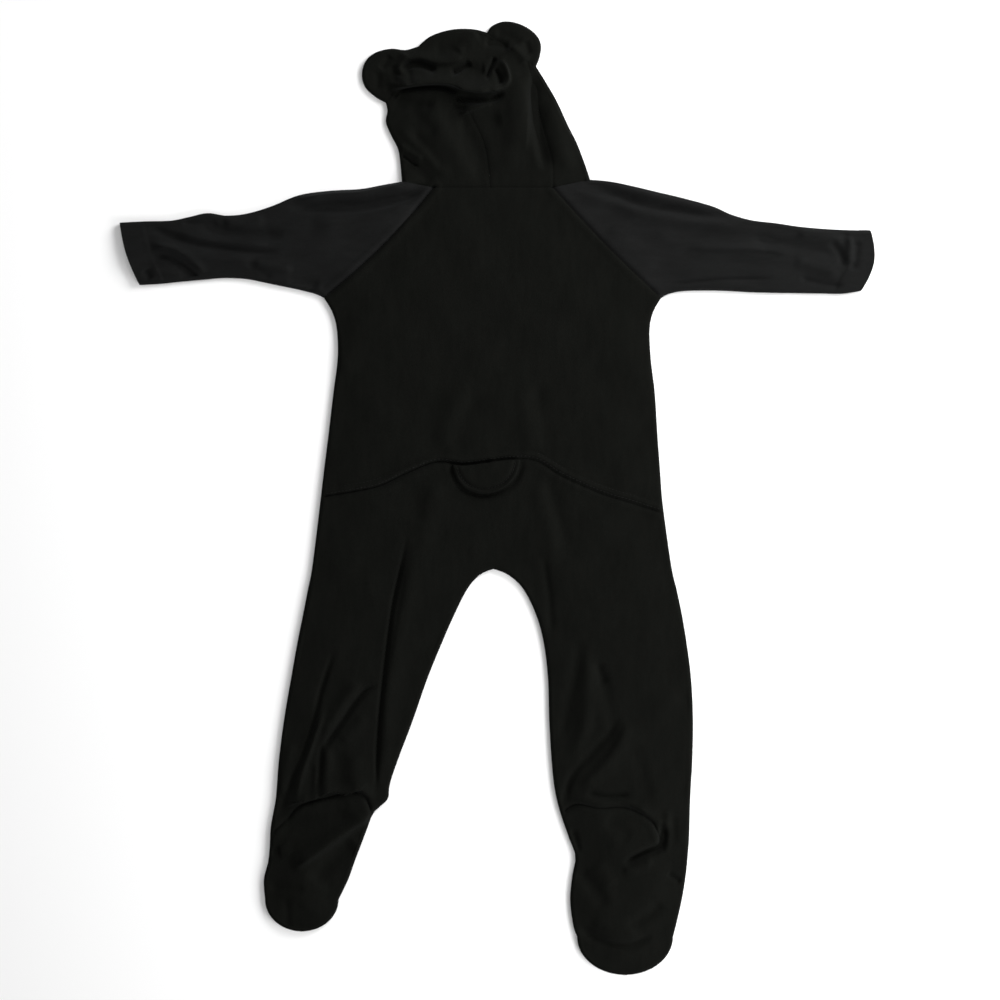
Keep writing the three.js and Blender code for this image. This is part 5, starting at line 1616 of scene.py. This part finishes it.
def stud(name, x, y):
    rim = STUD_PROFILE[1:-1]
    vertices = [(x, y, 0)]
    for radius, z in rim:
        vertices += [(x + radius * c, y + radius * s, z) for c, s in ring_of(STUD_SIDES)]
    vertices.append((x, y, STUD_PROFILE[-1][1]))
    last = 1 + (len(rim) - 1) * STUD_SIDES
    faces = ring_faces(1, len(rim), STUD_SIDES)
    for k in range(STUD_SIDES):
        n = (k + 1) % STUD_SIDES
        faces.append((0, 1 + n, 1 + k))
        faces.append((last + k, last + n, len(vertices) - 1))
    return mesh_object(name, vertices, faces)


for i in range(STUD_COUNT):
    y = STUD_TOP_Y + (STUD_LOW_Y - STUD_TOP_Y) * i / (STUD_COUNT - 1)
    dress(stud(f"stud_{i + 1}_cap", on_middle_line(y), y), enamel, "stud", f"stud_{i + 1}")


def placket():
    half = PLACKET_WIDTH / 2
    corners = [
        [(on_middle_line(y) - half, y), (on_middle_line(y) + half, y)] for y in (PLACKET_LOW, PLACKET_TOP)
    ]
    low, high = [straight(*row) for row in corners]
    left, right = [straight(*side) for side in zip(*corners)]
    base = RAISED_Z + CLOTH + LAYER_GAP + FLAP_CLOTH

    def lift(xy):
        wave = np.sin(xy[:, 1] / PLACKET_WAVE_ALONG) * np.cos(xy[:, 0] / PLACKET_WAVE_ACROSS)
        return np.column_stack([xy, base + PLACKET_WAVE * wave])

    return [net(patch(low, high, left, right), even(120), lambda width, v: even(12), lift)]


cloth_piece("placket", placket(), flap_walls, PLACKET_WIDTH, PLACKET_TOP - PLACKET_LOW, BOTH_FRONTS)

# Sewing

STITCH_LIFT = 0.1

# Rows of stitches: from and to which share of the seam, pitch and length
SEAT_STITCHES = (0.02, 0.98, 3.2, 2.4)
TAIL_STITCHES = (0.05, 0.95, 3.0, 2.2)
SEAT_STITCH_OFFSETS = (2.2, 6.4)
TAIL_STITCH_LIFT = TAIL_LIFT + 2 * FLAP_CLOTH + THIN_GAP + 0.15


def above_back(rise):
    def lift(xy):
        return back_points(xy, BACK_EDGE_Z) + (0, 0, rise)

    return lift


seat_rows = [
    stitch_row(seat_whole, *SEAT_STITCHES, above_back(STITCH_LIFT), offset)
    for offset in SEAT_STITCH_OFFSETS
]
dress(thread_object("seat_stitches", seat_rows), thread, "jersey")
tail_row = stitch_row(tail_rim, *TAIL_STITCHES, above_back(TAIL_STITCH_LIFT), TAIL_STITCH_IN)
dress(thread_object("tail_stitches", [tail_row]), thread, "jersey")

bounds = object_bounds()
sizes = {"cad": cad_box, "visual": bounds}
{k: [[float(c) for c in corner] for corner in box] for k, box in sizes.items()}
